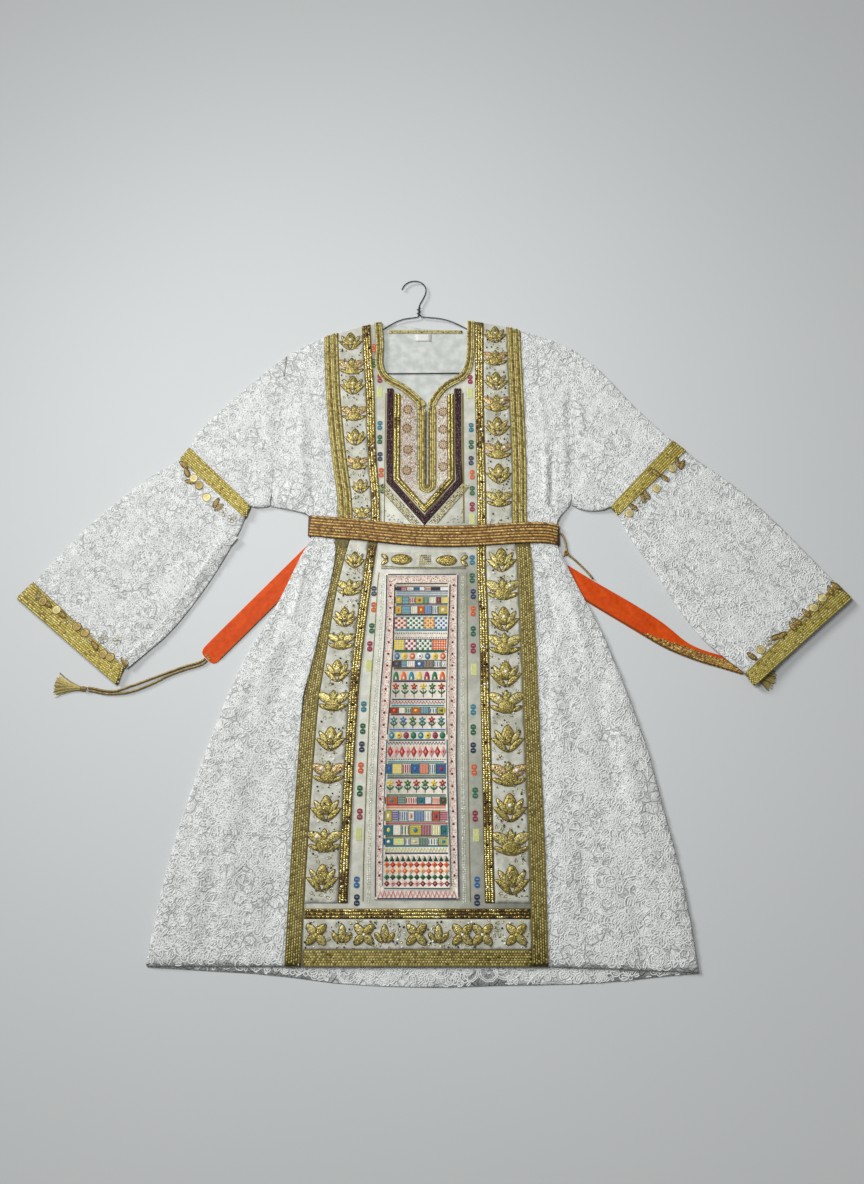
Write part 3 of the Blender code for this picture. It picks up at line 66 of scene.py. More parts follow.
def pick(obj):
    """Makes one object the only one selected, as the imported nodes come in selected."""
    bpy.ops.object.select_all(action="DESELECT")
    obj.select_set(True)
    bpy.context.view_layer.objects.active = obj


class Wire:
    """One output of a shader node. Sums and products of wires add the nodes that they need."""

    def __init__(self, tree, socket):
        self.tree, self.socket = tree, socket

    def node(self, kind, sockets, output=0, **settings):
        """A node fed by wires or set to values, and the wire from one of its outputs."""
        made = self.tree.nodes.new(kind)
        for key, value in settings.items():
            setattr(made, key, value)
        for key, value in sockets.items():
            if isinstance(value, Wire):
                self.tree.links.new(value.socket, made.inputs[key])
            else:
                made.inputs[key].default_value = value
        return Wire(self.tree, made.outputs[output])

    def sum(self, operation, one, other=0.0):
        """A maths node on two values."""
        return self.node("ShaderNodeMath", {0: one, 1: other}, operation=operation)

    def __add__(self, other):
        return self.sum("ADD", self, other)

    __radd__ = __add__

    def __mul__(self, other):
        return self.sum("MULTIPLY", self, other)

    __rmul__ = __mul__

    def __sub__(self, other):
        return self.sum("SUBTRACT", self, other)

    def __rsub__(self, other):
        return self.sum("SUBTRACT", other, self)

    def max(self, other):
        return self.sum("MAXIMUM", self, other)

    def min(self, other):
        return self.sum("MINIMUM", self, other)

    def wave(self, times):
        """The sine of it, made faster."""
        return self.sum("SINE", self * times)

    def abs(self):
        return self.sum("ABSOLUTE", self)

    def soft(self, low, high, to_low=0.0, to_high=1.0):
        """A soft step from to_low to to_high as the value goes from low to high."""
        return self.node("ShaderNodeMapRange", {0: self, 1: low, 2: high, 3: to_low, 4: to_high},
                         interpolation_type="SMOOTHSTEP")

    def tint(self, one, other):
        """A colour from one to other as the value goes from 0 to 1."""
        ends = [end if isinstance(end, Wire) else (*end, 1) for end in (one, other)]
        return self.node("ShaderNodeMix", {0: self, 6: ends[0], 7: ends[1]}, 2, data_type="RGBA")

    def noise(self, scale, detail=2.0, output=0):
        """Soft noise read at the place, as a value, or as a colour from output 1."""
        return self.node("ShaderNodeTexNoise", {"Vector": self, "Scale": scale, "Detail": detail}, output)

    def axis(self, number):
        """One of a place's three coordinates, in metres."""
        return self.node("ShaderNodeSeparateXYZ", {0: self}, number)

    def cells(self, scale, feature):
        """The distance to a cell's middle or edge, read at the place."""
        return self.node("ShaderNodeTexVoronoi", {"Vector": self, "Scale": scale}, feature=feature)

    def moved(self, other, reach):
        """A place shifted by a colour's departure from grey."""
        shift = self.node("ShaderNodeVectorMath", {0: other, 1: (0.5, 0.5, 0.5)}, operation="SUBTRACT")
        shift = self.node("ShaderNodeVectorMath", {0: shift, 3: reach}, operation="SCALE")
        return self.node("ShaderNodeVectorMath", {0: self, 1: shift}, operation="ADD")


def new_material(name, roughness, metallic=0.0, sheen=0.0):
    """A material with its shader, and the place on the piece that its pattern reads."""
    material = bpy.data.materials.new(name)
    material.use_nodes = True
    tree = material.node_tree
    shader = tree.nodes["Principled BSDF"]
    shader.inputs["Roughness"].default_value = roughness
    shader.inputs["Metallic"].default_value = metallic
    shader.inputs["Sheen Weight"].default_value = sheen
    return material, shader, Wire(tree, tree.nodes.new("ShaderNodeTexCoord").outputs["Object"])


def feed(shader, **values):
    """Links wires, or sets values, on the shader's sockets."""
    for key, value in values.items():
        socket = shader.inputs[key.replace("_", " ")]
        if isinstance(value, Wire):
            value.tree.links.new(value.socket, socket)
        else:
            socket.default_value = (*value, 1) if isinstance(value, tuple) else value


def bumped(shader, height, depth):
    """Raises the surface's shading by a height from 0 to 1, times a depth in millimetres."""
    feed(shader, Normal=height.node("ShaderNodeBump", {"Height": height, "Distance": depth * MM,
                                                       "Strength": 1.0}))


def srgb(red, green, blue):
    """A colour for a shader from the values that a picture of it has, from 0 to 255."""
    return tuple(((c / 255 + 0.055) / 1.055) ** 2.4 if c > 10 else c / 3295 for c in (red, green, blue))


def mottled(name, roughness, metallic, sheen, scale, dark, light, grain, depth):
    """A material whose tone wavers between two colours, with a fine grain on its surface."""
    material, shader, place = new_material(name, roughness, metallic, sheen)
    feed(shader, Base_Color=place.noise(scale, 3.0).soft(0.3, 0.75).tint(srgb(*dark), srgb(*light)))
    bumped(shader, place.noise(*grain), depth)
    return material


paper, shader, place = new_material("floor_paper", 0.8)
feed(shader, Base_Color=place.noise(1.6).tint((0.605, 0.625, 0.625), (0.635, 0.652, 0.652)))
bpy.ops.mesh.primitive_plane_add(size=12.0, location=(0, 0, 0))
floor = bpy.context.object
floor.name = "floor"
floor.data.materials.append(paper)

for name, kind, energy, size, place, aim in (
        ("window", "SUN", 2.15, 0.28, (-2.2, 1.5, 1.3), (0.0, 0.0, 0.0)),
        ("ceiling", "AREA", 13.4, 0.7, (-0.36, 0.34, 1.36), (0.0, 0.1, 0.0))):
    bpy.ops.object.light_add(type=kind, location=place)
    lamp = bpy.context.object
    lamp.name = name
    lamp.data.energy = energy
    if kind == "SUN":
        lamp.data.angle = size
    else:
        lamp.data.shape, lamp.data.size = "DISK", size
    lamp.rotation_euler = (Vector(aim) - Vector(place)).to_track_quat("-Z", "Y").to_euler()
SKY_LIGHT, SKY_SEEN = 0.165, 0.38
world = bpy.data.worlds.new("studio")
bpy.context.scene.world = world
world.use_nodes = True
tree = world.node_tree
tree.nodes["Background"].inputs[0].default_value = (0.97, 1.0, 0.99, 1)
seen = Wire(tree, tree.nodes.new("ShaderNodeLightPath").outputs["Is Camera Ray"])
strength = seen.node("ShaderNodeMath", {0: seen, 1: SKY_SEEN, 2: SKY_LIGHT}, operation="MULTIPLY_ADD")
tree.links.new(strength.socket, tree.nodes["Background"].inputs[1])


# Brown-gold twisted cords hang from the belt's two ends: one doubled cord at the left, knotted above
# its tassel, and a single one at the right. Each is two plies of lurex yarn twisted round each other.
CORD, TWIST, PLIES, CORD_SIDES, CORD_STEP, CORD_CLEAR, PLY_DEPTH = 4.0, 5.2, 2, 8, 1.5, 0.05, 0.26
LEFT_CORD = ((-370.8, -95.2), (-378, -100.2), (-389, -104), (-402, -107.5), (-429, -117.5),
             (-459, -129), (-487, -139.5), (-511, -147.6), (-530, -147.2), (-545, -144.0),
             (-556, -142.2))
LEFT_CORD_LOWER = ((-367.6, -98.4), (-375, -104.2), (-387, -108.6), (-400, -112.2), (-427, -122.2),
                   (-457, -137.5), (-487, -148.8), (-511, -152.1), (-530, -151.6), (-545, -148.4),
                   (-556, -146.6))
RIGHT_CORD = ((210.2, 117), (214.5, 113.5), (218.3, 104), (220.2, 92), (222.5, 81), (233, 71),
              (246, 58), (256, 46.5), (262, 38.6))


SPAN_STEPS, LOOK_AHEAD = 12, 1.5


def smooth_path(points, count):
    """Points at even steps along a smooth curve through the given points."""
    points = [np.array(point, dtype=float) for point in points]
    points = [2 * points[0] - points[1]] + points + [2 * points[-1] - points[-2]]
    fine = []
    for before, start, end, after in zip(points, points[1:], points[2:], points[3:]):
        for t in np.linspace(0, 1, SPAN_STEPS, endpoint=False):
            fine.append(0.5 * (2 * start + (end - before) * t
                               + (2 * before - 5 * start + 4 * end - after) * t ** 2
                               + (3 * start - before - 3 * end + after) * t ** 3))
    fine.append(points[-2])
    fine = np.array(fine)
    steps = walked_along(fine)
    wanted = np.linspace(0, steps[-1], count)
    return np.stack([np.interp(wanted, steps, fine[:, k]) for k in (0, 1)], axis=1)


def walked_along(points):
    """How far along straight runs each of some points lies from the first."""
    gaps = np.linalg.norm(np.diff(np.asarray(points, dtype=float), axis=0), axis=1)
    return np.concatenate([[0.0], np.cumsum(gaps)])


def along(path, step):
    """Points, headings and distances at even steps along a line of points."""
    path = np.asarray(path, dtype=float)
    runs = walked_along(path)
    at = np.arange(step / 2, runs[-1], step)
    spots = np.stack([np.interp(at, runs, path[:, 0]), np.interp(at, runs, path[:, 1])], axis=1)
    ahead = np.stack([np.interp(np.minimum(at + LOOK_AHEAD, runs[-1]), runs, path[:, k])
                      - np.interp(np.maximum(at - LOOK_AHEAD, 0), runs, path[:, k]) for k in (0, 1)], axis=1)
    return spots, np.arctan2(ahead[:, 1], ahead[:, 0]), at


def beside(path, away):
    """A line of points moved sideways, to the left of its run."""
    path = np.asarray(path, dtype=float)
    course = np.gradient(path, axis=0)
    course /= np.maximum(np.linalg.norm(course, axis=1), 1e-6)[:, None]
    return path + np.stack([-course[:, 1], course[:, 0]], axis=1) * away


def turned(points, angle, x=0.0, y=0.0):
    """Points turned about the origin, then moved."""
    c, s = math.cos(angle), math.sin(angle)
    return np.asarray(points, dtype=float) @ np.array([[c, s], [-s, c]]) + (x, y)


def place_mesh(name, points, faces, material, colours=None):
    """A piece from points in millimetres and faces of one length, riding on the dress."""
    points = np.asarray(points, dtype=np.float64) * MM
    faces = np.asarray(faces, dtype=np.int32)
    mesh = bpy.data.meshes.new(name)
    mesh.vertices.add(len(points))
    mesh.vertices.foreach_set("co", points.astype(np.float32).ravel())
    corners = faces.shape[1]
    mesh.loops.add(faces.size)
    mesh.loops.foreach_set("vertex_index", faces.ravel())
    mesh.polygons.add(len(faces))
    mesh.polygons.foreach_set("loop_start", np.arange(0, faces.size, corners, dtype=np.int32))
    mesh.update(calc_edges=True)
    mesh.validate()
    if colours is not None:
        layer = mesh.color_attributes.new("thread", "FLOAT_COLOR", "POINT")
        full = np.concatenate([colours, np.ones((len(points), 1))], axis=1)
        layer.data.foreach_set("color", full.astype(np.float32).ravel())
    mesh.polygons.foreach_set("use_smooth", np.full(len(mesh.polygons), True))
    obj = bpy.data.objects.new(name, mesh)
    bpy.context.collection.objects.link(obj)
    mesh.materials.append(material)
    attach(obj, "root")
    return obj


def twisted_cord(name, route, material):
    """A cord of plies twisted round each other, as one tube with a helical skin, and its path."""
    count = int(walked_along(route)[-1] / CORD_STEP)
    line = np.concatenate([smooth_path(route, count), np.full((count, 1), CORD / 2 + CORD_CLEAR)], axis=1)
    course = np.gradient(line, axis=0)
    course /= np.linalg.norm(course, axis=1)[:, None]
    side = np.cross(course, (0, 0, 1.0))
    side /= np.linalg.norm(side, axis=1)[:, None]
    up = np.cross(side, course)
    walked = walked_along(line)
    rings = []
    for k in range(CORD_SIDES):
        theta = 2 * math.pi * k / CORD_SIDES
        wave = 0.5 + 0.5 * np.cos(PLIES * theta - 2 * math.pi * walked / TWIST)
        radius = (CORD / 2) * (1 - PLY_DEPTH + PLY_DEPTH * wave)
        rings.append(line + side * (radius * math.cos(theta))[:, None]
                     + up * (radius * math.sin(theta))[:, None])
    points = np.concatenate([np.stack(rings, axis=1).reshape(-1, 3), line[:1], line[-1:]])
    pairs = [(k, (k + 1) % CORD_SIDES) for k in range(CORD_SIDES)]
    starts = [i * CORD_SIDES for i in range(count)]
    faces = [(a + k, b + k, b + m, a + m) for a, b in zip(starts, starts[1:]) for k, m in pairs]
    for k, m in pairs:
        faces.append((len(points) - 2, k, m))
        faces.append((len(points) - 1, starts[-1] + m, starts[-1] + k))
    body = bmesh.new()
    made = [body.verts.new(point * MM) for point in points]
    for face in faces:
        body.faces.new([made[i] for i in face])
    mesh = bpy.data.meshes.new(name)
    body.to_mesh(mesh)
    body.free()
    mesh.polygons.foreach_set("use_smooth", np.full(len(mesh.polygons), True))
    mesh.materials.append(material)
    obj = bpy.data.objects.new(name, mesh)
    bpy.context.collection.objects.link(obj)
    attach(obj, "root")
    return obj, [tuple(point * MM) for point in line[:: max(1, count // 40)]] + [tuple(line[-1] * MM)]


lurex, shader, place = new_material("twisted_cord", 0.42, 0.45)
grain = place.noise(1500, 3.0)
shade = grain * 0.6 + place.noise(160) * 0.4
feed(shader, Base_Color=shade.soft(0.3, 0.7).tint((0.13, 0.085, 0.02), (0.42, 0.31, 0.11)))
bumped(shader, grain, 0.3)

ropes = {}
for name, route in (("cord_left_upper", LEFT_CORD), ("cord_left_lower", LEFT_CORD_LOWER),
                    ("cord_right", RIGHT_CORD)):
    cord, path = twisted_cord(name + "_twist", route, lurex)
    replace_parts(cord, name)
    ropes[name] = (cord, path)


# The dress is cut from white corded lace backed with thin white cloth: the back in one piece, the
# front in two sides, and wide sleeves in two stretches. The lace is a dense net of flowers, leaves and
# scrolls outlined in a soft white cord, sewn by machine at the seams and pressed flat.
def lace_look(place):
    """The lace's tone and height: rings, petals and curls parted by fine gaps, over a close net. The gaps are
    sunk in the height, and the tone is painted grey along them as the shade around the raised cords.
    """
    bent = place.moved(place.noise(60, 1.0, output=1), 0.012)
    rings = 1 - (bent.cells(88, "F1") - 0.27).abs().soft(0.03, 0.09)
    petals = 1 - bent.cells(62, "DISTANCE_TO_EDGE").soft(0.015, 0.07)
    curls = 1 - bent.noise(60, 1.0).wave(40).abs().soft(0.08, 0.35)
    gaps = rings.max(petals).max(curls * 0.7)
    mottle = place.noise(320, 3.0)
    # Painted shade: the tone darkens along the gaps, where shade falls round the raised cords.
    tone = (mottle * 0.7 + 0.62 - gaps * 0.62).min(1.0).max(0.0)
    return tone.tint(srgb(164, 168, 164), srgb(228, 230, 228)), mottle * 0.4 + 1 - gaps


lace, shader, place = new_material("white_lace", 0.78, sheen=0.25)
tone, height = lace_look(place)
# The lace's colour has painted shade in the gaps between its cords.
feed(shader, Base_Color=tone)
bumped(shader, height, 1.5)
cloths = {}


def crease_height(x, y, x0, y0, x1, y1, width, height):
    """A soft ridge or trough from one point to another. A row of a fold table gives its last six sizes."""
    start, run = np.array((x0, y0), float), np.array((x1 - x0, y1 - y0), float)
    share = np.clip(((x - start[0]) * run[0] + (y - start[1]) * run[1]) / (run @ run), 0, 1)
    away = np.hypot(x - start[0] - share * run[0], y - start[1] - share * run[1])
    fade = np.clip(5 * share + 0.15, 0, 1) * np.clip(5 * (1 - share) + 0.15, 0, 1)
    return height * np.exp(-(away / width) ** 2) * fade


def crumple(x, y, seed, depth, size=34.0):
    """Small soft unevenness, the same on every run."""
    rng = np.random.default_rng(seed)
    total = np.zeros_like(x)
    for _ in range(9):
        turn, phase, share = rng.uniform(0, 2 * math.pi), rng.uniform(0, 6.3), rng.uniform(0.6, 1.7)
        bend = 0.6 * np.sin((x * math.sin(turn) - y * math.cos(turn)) / (size * 0.9) + phase)
        total += np.sin((x * math.cos(turn) + y * math.sin(turn)) * share * 2 * math.pi / size / 1.6 + phase
                        + bend)
    return depth * total / 3


WELD, CLOTH_FREE = 0.00002, 1.8
FLAT_ENOUGH, SQUARE_ENOUGH, SHARP = math.radians(60), math.radians(70), math.radians(52)


def cloth_from(node, name, material, folds=(), levels=3, seed=1, depth=0.35, floor_z=2.2):
    """Cloth on its solid's form, made finer and creased above the layer that rests."""
    mesh = cad[node].data.copy()
    obj = bpy.data.objects.new(name, mesh)
    bpy.context.collection.objects.link(obj)
    mesh.materials.clear()
    mesh.materials.append(material)
    pick(obj)
    bpy.ops.mesh.customdata_custom_splitnormals_clear()
    bpy.ops.object.mode_set(mode="EDIT")
    bpy.ops.mesh.select_mode(type="VERT")
    bpy.ops.mesh.select_all(action="SELECT")
    bpy.ops.mesh.remove_doubles(threshold=WELD)
    bpy.ops.mesh.tris_convert_to_quads(face_threshold=FLAT_ENOUGH, shape_threshold=SQUARE_ENOUGH)
    bpy.ops.mesh.select_all(action="DESELECT")
    bpy.ops.mesh.select_mode(type="EDGE")
    bpy.ops.mesh.edges_select_sharp(sharpness=SHARP)
    bpy.ops.transform.edge_crease(value=1.0)
    bpy.ops.object.mode_set(mode="OBJECT")
    if levels:
        finer = obj.modifiers.new("finer", "SUBSURF")
        finer.levels = levels
        finer.render_levels = levels
        bpy.ops.object.modifier_apply(modifier=finer.name)
    count = len(mesh.vertices)
    co = np.zeros(count * 3, np.float32)
    mesh.vertices.foreach_get("co", co)
    co = co.reshape(-1, 3).astype(np.float64) / MM
    x, y, z = co[:, 0], co[:, 1], co[:, 2]
    rise = crumple(x, y, seed, depth)
    for fold in folds:
        rise = rise + crease_height(x, y, *fold)
    free = np.clip((z - floor_z) / CLOTH_FREE, 0, 1)
    co[:, 2] = z + rise * free * free * (3 - 2 * free)
    mesh.vertices.foreach_set("co", (co * MM).astype(np.float32).ravel())
    mesh.update()
    mesh.polygons.foreach_set("use_smooth", np.full(len(mesh.polygons), True))
    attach(obj, "root")
    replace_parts(obj, node)
    cloths[node] = obj
    return obj


def box_mm(node):
    """The lowest and the highest corner of a solid, in millimetres."""
    return [np.array(corner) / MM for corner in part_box(node)]


RAY_TOP, STEP_LIMIT = 80.0, 4.0


def surface_of(*objs):
    """Gives the height in millimetres of the topmost of some pieces over a place, or None beside them."""
    points, faces = [], []
    for obj in objs:
        start = len(points)
        points += [vert.co / MM for vert in obj.data.vertices]
        faces += [[start + i for i in face.vertices] for face in obj.data.polygons]
    tree = BVHTree.FromPolygons(points, faces)

    def height(x, y):
        hit = tree.ray_cast(Vector((x, y, RAY_TOP)), Vector((0, 0, -1)))[0]
        return None if hit is None else hit.z

    return height


class Needlework:
    """Gathers cords, stitches, dots and padded leaves that lie on one surface, as one joined mesh."""

    def __init__(self, height_at, spill=False):
        self.height_at, self.spill = height_at, spill
        self.points, self.faces, self.colours = [], [], []
        self.count = 0

    def add(self, points, faces, colour):
        """Puts in a shape of one colour."""
        self.points.append(np.asarray(points, dtype=float))
        self.faces.append(np.asarray(faces, dtype=np.int32) + self.count)
        self.colours.append(np.tile(np.asarray(colour, dtype=float), (len(points), 1)))
        self.count += len(points)

    def heights(self, spots):
        """The surface's heights under some spots, or None where they leave it or it steps."""
        found = [self.height_at(x, y) for x, y in spots]
        known = [z for z in found if z is not None]
        if len(known) < len(found) and not (self.spill and known):
            return None
        found = [known[0] if z is None else z for z in found]
        return None if max(found) - min(found) > STEP_LIMIT else np.array(found)

    def line(self, path, width, rise, colour, lift=0.0, closed=False):
        """A cord laid along a path, with a rounded back."""
        path = np.asarray(path, dtype=float)
        if closed:
            path = np.concatenate([path, path[:1]])
        base = self.heights(path)
        if base is None:
            return
        low = base + lift
        left = np.column_stack([beside(path, width / 2), low])
        crest = np.column_stack([path, low + rise])
        right = np.column_stack([beside(path, -width / 2), low])
        n = len(path)
        a = np.arange(n - 1)
        faces = np.concatenate([
            np.stack([a, a + n, a + 1], 1), np.stack([a + 1, a + n, a + n + 1], 1),
            np.stack([a + n, a + 2 * n, a + n + 1], 1), np.stack([a + n + 1, a + 2 * n, a + 2 * n + 1], 1)])
        self.add(np.concatenate([left, crest, right]), faces, colour)

    def leaf(self, outline, rise, colour, inner=0.55, edge=0.35):
        """A padded shape within an outline, round on top."""
        outline = np.asarray(outline, dtype=float)
        middle = outline.mean(axis=0)
        base = self.heights([*outline, middle])
        if base is None:
            return
        n = len(outline)
        rim = np.column_stack([outline, base[:-1]])
        wall = np.column_stack([outline * 0.97 + middle * 0.03, base[:-1] + rise * edge])
        ring = np.column_stack([outline * inner + middle * (1 - inner), base[:-1] + rise * 0.92])
        top = np.array([[*middle, base[-1] + rise]])
        a = np.arange(n)
        b = (a + 1) % n
        faces = np.concatenate([
            np.stack([a, b, b + n], 1), np.stack([a, b + n, a + n], 1),
            np.stack([a + n, b + n, b + 2 * n], 1), np.stack([a + n, b + 2 * n, a + 2 * n], 1),
            np.stack([a + 2 * n, b + 2 * n, np.full(n, 3 * n)], 1)])
        self.add(np.concatenate([rim, wall, ring, top]), faces, colour)

    def dot(self, x, y, radius, rise, colour, sides):
        """A low round bead of padding."""
        angles = np.arange(sides) * 2 * math.pi / sides
        self.leaf(np.column_stack([x + radius * np.cos(angles), y + radius * np.sin(angles)]), rise, colour,
                  0.6, 0.5)

    def block(self, left, low, right, high, colour, other, stitch, rise, upright=True):
        """A patch of satin stitches side by side in two colours, upright or level."""
        span = (right - left) if upright else (high - low)
        count = max(1, int(round(span / stitch)))
        for i in range(count):
            at = (i + 0.5) * span / count
            if upright:
                run = [(left + at, low), (left + at, (low + high) / 2), (left + at, high)]
            else:
                run = [(left, low + at), ((left + right) / 2, low + at), (right, low + at)]
            self.line(run, span / count, rise, colour if i % 2 else other)

    def made(self, name, material, slot):
        """The piece that all of it makes, every face turned upwards."""
        points = np.concatenate(self.points)
        faces = np.concatenate(self.faces)
        colours = np.concatenate(self.colours)
        corners = points[faces]
        upward = np.cross(corners[:, 1] - corners[:, 0], corners[:, 2] - corners[:, 0])[:, 2] >= 0
        faces = np.where(upward[:, None], faces, faces[:, ::-1])
        return place_mesh(name, points, faces, material, colours)


# The large folds that the photo shows on each lace piece. A row is one fold, in mm: where it starts and
# ends (x, y, x, y), its width, and its height, which is below zero for a trough.
FOLDS = {
    "front_side_left": (
        (-300, -250, -318, -470, 22, 2.9), (-250, -60, -290, -150, 10, 2.2),
        (-215, 60, -232, -40, 5, 3.2), (-240, 10, -275, -90, 8, -2.9),
        (-282, -120, -322, -250, 12, -3.2), (-246, -330, -252, -520, 15, -2.6),
        (-236, -60, -262, -200, 16, -3.5), (-262, -200, -300, -420, 26, -3.2),
        (-350, -350, -372, -530, 14, 2.6), (-335, -420, -345, -545, 9, -2.2),
        (-230, 350, -222, 180, 7, 2.6), (-212, 240, -200, 158, 5, -2.6),
        (-246, 210, -218, 168, 5, 2.9)),
    "front_side_right": (
        (215, 40, 250, -110, 9, 2.9), (186, 60, 196, -60, 6, -2.6),
        (190, -60, 202, -260, 12, 2.9), (255, -120, 290, -330, 13, -3.2),
        (290, -200, 330, -420, 15, 2.9), (225, -330, 236, -540, 13, -2.6),
        (300, -420, 318, -560, 10, -2.2), (352, -420, 372, -550, 10, 2.2),
        (176, 380, 190, 300, 6, 3.2), (190, 300, 190, 165, 6, 2.9),
        (200, 250, 196, 160, 5, -2.9), (222, 390, 222, 200, 8, 2.2)),
    "upper_sleeve_left": (
        (-280, 200, -330, 300, 9, 1.6), (-300, 180, -360, 240, 8, -1.4),
        (-275, 260, -300, 390, 10, 1.2)),
    "upper_sleeve_right": (
        (250, 190, 300, 290, 9, 1.6), (275, 175, 330, 235, 8, -1.4),
        (247, 380, 262, 250, 8, 1.8), (300, 300, 360, 250, 9, 1.0)),
    "lower_sleeve_left": (
        (-330, 120, -400, 20, 9, 1.8), (-350, 150, -470, 10, 12, -1.6),
        (-380, 190, -560, 40, 14, 1.6), (-430, -20, -500, -80, 9, -1.6),
        (-560, 120, -620, 40, 12, 1.2)),
    "lower_sleeve_right": (
        (330, 110, 400, 10, 9, 1.8), (360, 140, 470, 0, 12, -1.6),
        (400, 200, 560, 50, 14, 1.6), (430, -30, 500, -90, 9, -1.6),
        (560, 110, 610, 40, 12, 1.2)),
}
for seed, (node, folds) in enumerate(FOLDS.items(), 3):
    cloth_from(node, node + "_lace", lace, folds, seed=seed, floor_z=-9.0 if "front" in node else 2.2)

# Where the sleeve's front lies folded along its lower edge, and at the armholes, the lace doubles into
# a soft lip. Each lip is a narrow turn of the same lace, pressed flat on its inner side.
LIP = ((-17, 0.05), (-12, 0.7), (-6, 1.8), (-2, 2.6), (-0.4, 2.7), (0.8, 2.0), (1.2, 0.05))
SEAM_LIP = ((-4.5, 0.02), (-2.2, 0.4), (-0.6, 0.55), (0.6, 0.55), (2.2, 0.4), (4.5, 0.02))


def lip(name, path, profile, side, height_at):
    """A soft turn of lace along a path; its steep edge is on the given side."""
    line = smooth_path(path, int(walked_along(path)[-1] / 5))
    points = []
    swell = 1 + 0.25 * np.sin(np.linspace(0, 9, len(line)) + np.random.default_rng(len(name)).uniform(0, 6))
    fade = np.clip(np.minimum(np.arange(len(line)), np.arange(len(line))[::-1]) / 4.0, 0.0, 1.0)
    for away, rise in profile:
        row = beside(line, -side * away)
        for i, (x, y) in enumerate(row):
            z = height_at(x, y)
            z = height_at(*line[i]) if z is None else z
            points.append((x, y, (0.5 if z is None else z) + rise * swell[i] * fade[i]))
    n = len(line)
    corners = [k * n + i for k in range(len(profile) - 1) for i in range(n - 1)]
    obj = place_mesh(name, points, [(a, a + 1, a + n + 1, a + n) for a in corners], lace)
    pick(obj)
    bpy.ops.object.mode_set(mode="EDIT")
    bpy.ops.mesh.select_all(action="SELECT")
    bpy.ops.mesh.normals_make_consistent(inside=False)
    bpy.ops.object.mode_set(mode="OBJECT")
    if sum(face.normal.z for face in obj.data.polygons) < 0:
        obj.data.flip_normals()
    return obj


LIP_LEFT = ((-341, 118), (-365.7, 84.8), (-403.5, 23), (-451.4, -46), (-497, -91), (-505, -98))
lips = {"lower_sleeve_left": [lip("lower_sleeve_left_lip", LIP_LEFT, LIP, 1,
                                  surface_of(cloths["lower_sleeve_left"]))]}
for node, beyond, side in (("front_side_left", "upper_sleeve_left", -1),
                           ("front_side_right", "upper_sleeve_right", 1)):
    top = surface_of(cloths[node])
    both = surface_of(cloths[node], cloths[beyond])
    seam = []
    for y in np.arange(436.0, 170.0, -14.0):
        reach = [x for x in np.arange(200.0, 300.0, 0.5) if top(side * x, y) is not None]
        if reach:
            seam.append((side * (max(reach) + 0.4), y))
    lips[node] = [lip(node + "_armhole", seam, SEAM_LIP, side, both)]


def petal_loop(reach, width, turn, start, count=9):
    """A closed petal that points outwards from a flower's middle."""
    t = np.linspace(0, math.pi, count)
    out = reach * (start + (1 - start) * (1 - np.cos(t)) / 2)
    side = width * np.sin(t) ** 0.8
    return turned(np.concatenate([np.column_stack([out, side]), np.column_stack([out, -side])[::-1][1:]]),
                  turn)


def lace_flower(rng, reach):
    """Cords of one lace flower: petals with veins, and a ring in its middle."""
    cords = []
    petals = rng.choice((5, 6, 7))
    for k in range(petals):
        turn = 2 * math.pi * k / petals + rng.uniform(-0.08, 0.08)
        cords.append(petal_loop(reach * rng.uniform(0.85, 1.05), reach * 0.30, turn, 0.2))
        for side in (-0.1, 0.1):
            cords.append(turned(np.array([(0.36, side * 0.6), (0.6, side), (0.8, side * 0.5)]) * reach, turn))
    ring = np.linspace(0, 2 * math.pi, 9)
    cords.append(np.column_stack([np.cos(ring), np.sin(ring)]) * reach * 0.17)
    return cords


def lace_spray(rng, reach):
    """Cords of one curved stem with leaves on both its sides."""
    t = np.linspace(0, 1, 9)
    bend = rng.uniform(0.5, 1.1) * rng.choice((-1, 1))
    stem = np.column_stack([t * 2 - 1, bend * (0.3 - (t - 0.5) ** 2 * 1.2)]) * reach
    cords = [stem]
    for k in range(1, 8):
        course = stem[min(k + 1, 8)] - stem[k - 1]
        heading = math.atan2(course[1], course[0])
        side = 1 if k % 2 else -1
        cords.append(petal_loop(reach * 0.52, reach * 0.12, heading + side * 0.9, 0.0, 6) + stem[k])
    return cords


def lace_scroll(rng, reach):
    """Cords of one curl that winds in on itself, with a short echo beside it."""
    t = np.linspace(0, 1, 16)
    angle = rng.choice((-1, 1)) * t * 3.4 * math.pi
    curl = np.column_stack([np.cos(angle), np.sin(angle)]) * (reach * (1 - 0.86 * t))[:, None]
    return [curl, curl[:9] * 1.22]


LACE_MAKERS = {"flower": lace_flower, "spray": lace_spray, "scroll": lace_scroll}
LACE_SHARES, ROW_SHARE, LACE_CORD_RISE, LACE_CORD_TONE = (0.42, 0.34, 0.24), 0.86, 0.9, (0.9, 0.9, 0.9)


def lace_cords(name, height_at, low, high, seed, spacing=27.0):
    """Raised cords of flowers, sprays and scrolls, all over one stretch of lace."""
    rng = np.random.default_rng(seed)
    work = Needlework(height_at)
    rows = int((high[1] - low[1]) / (spacing * ROW_SHARE)) + 2
    columns = int((high[0] - low[0]) / spacing) + 2
    for i in range(rows):
        for j in range(columns):
            x = low[0] + (j + 0.5 * (i % 2)) * spacing + rng.uniform(-0.3, 0.3) * spacing
            y = low[1] + i * spacing * ROW_SHARE + rng.uniform(-0.3, 0.3) * spacing
            kind = rng.choice(tuple(LACE_MAKERS), p=LACE_SHARES)
            reach = rng.uniform(0.62, 0.86) * spacing
            turn = rng.uniform(0, 2 * math.pi)
            for cord in LACE_MAKERS[kind](rng, reach):
                cord = turned(cord, turn, x, y)
                work.line(cord, rng.uniform(1.3, 1.7), LACE_CORD_RISE, LACE_CORD_TONE, 0.05)
    work.made(name, lace_cord, "lace")


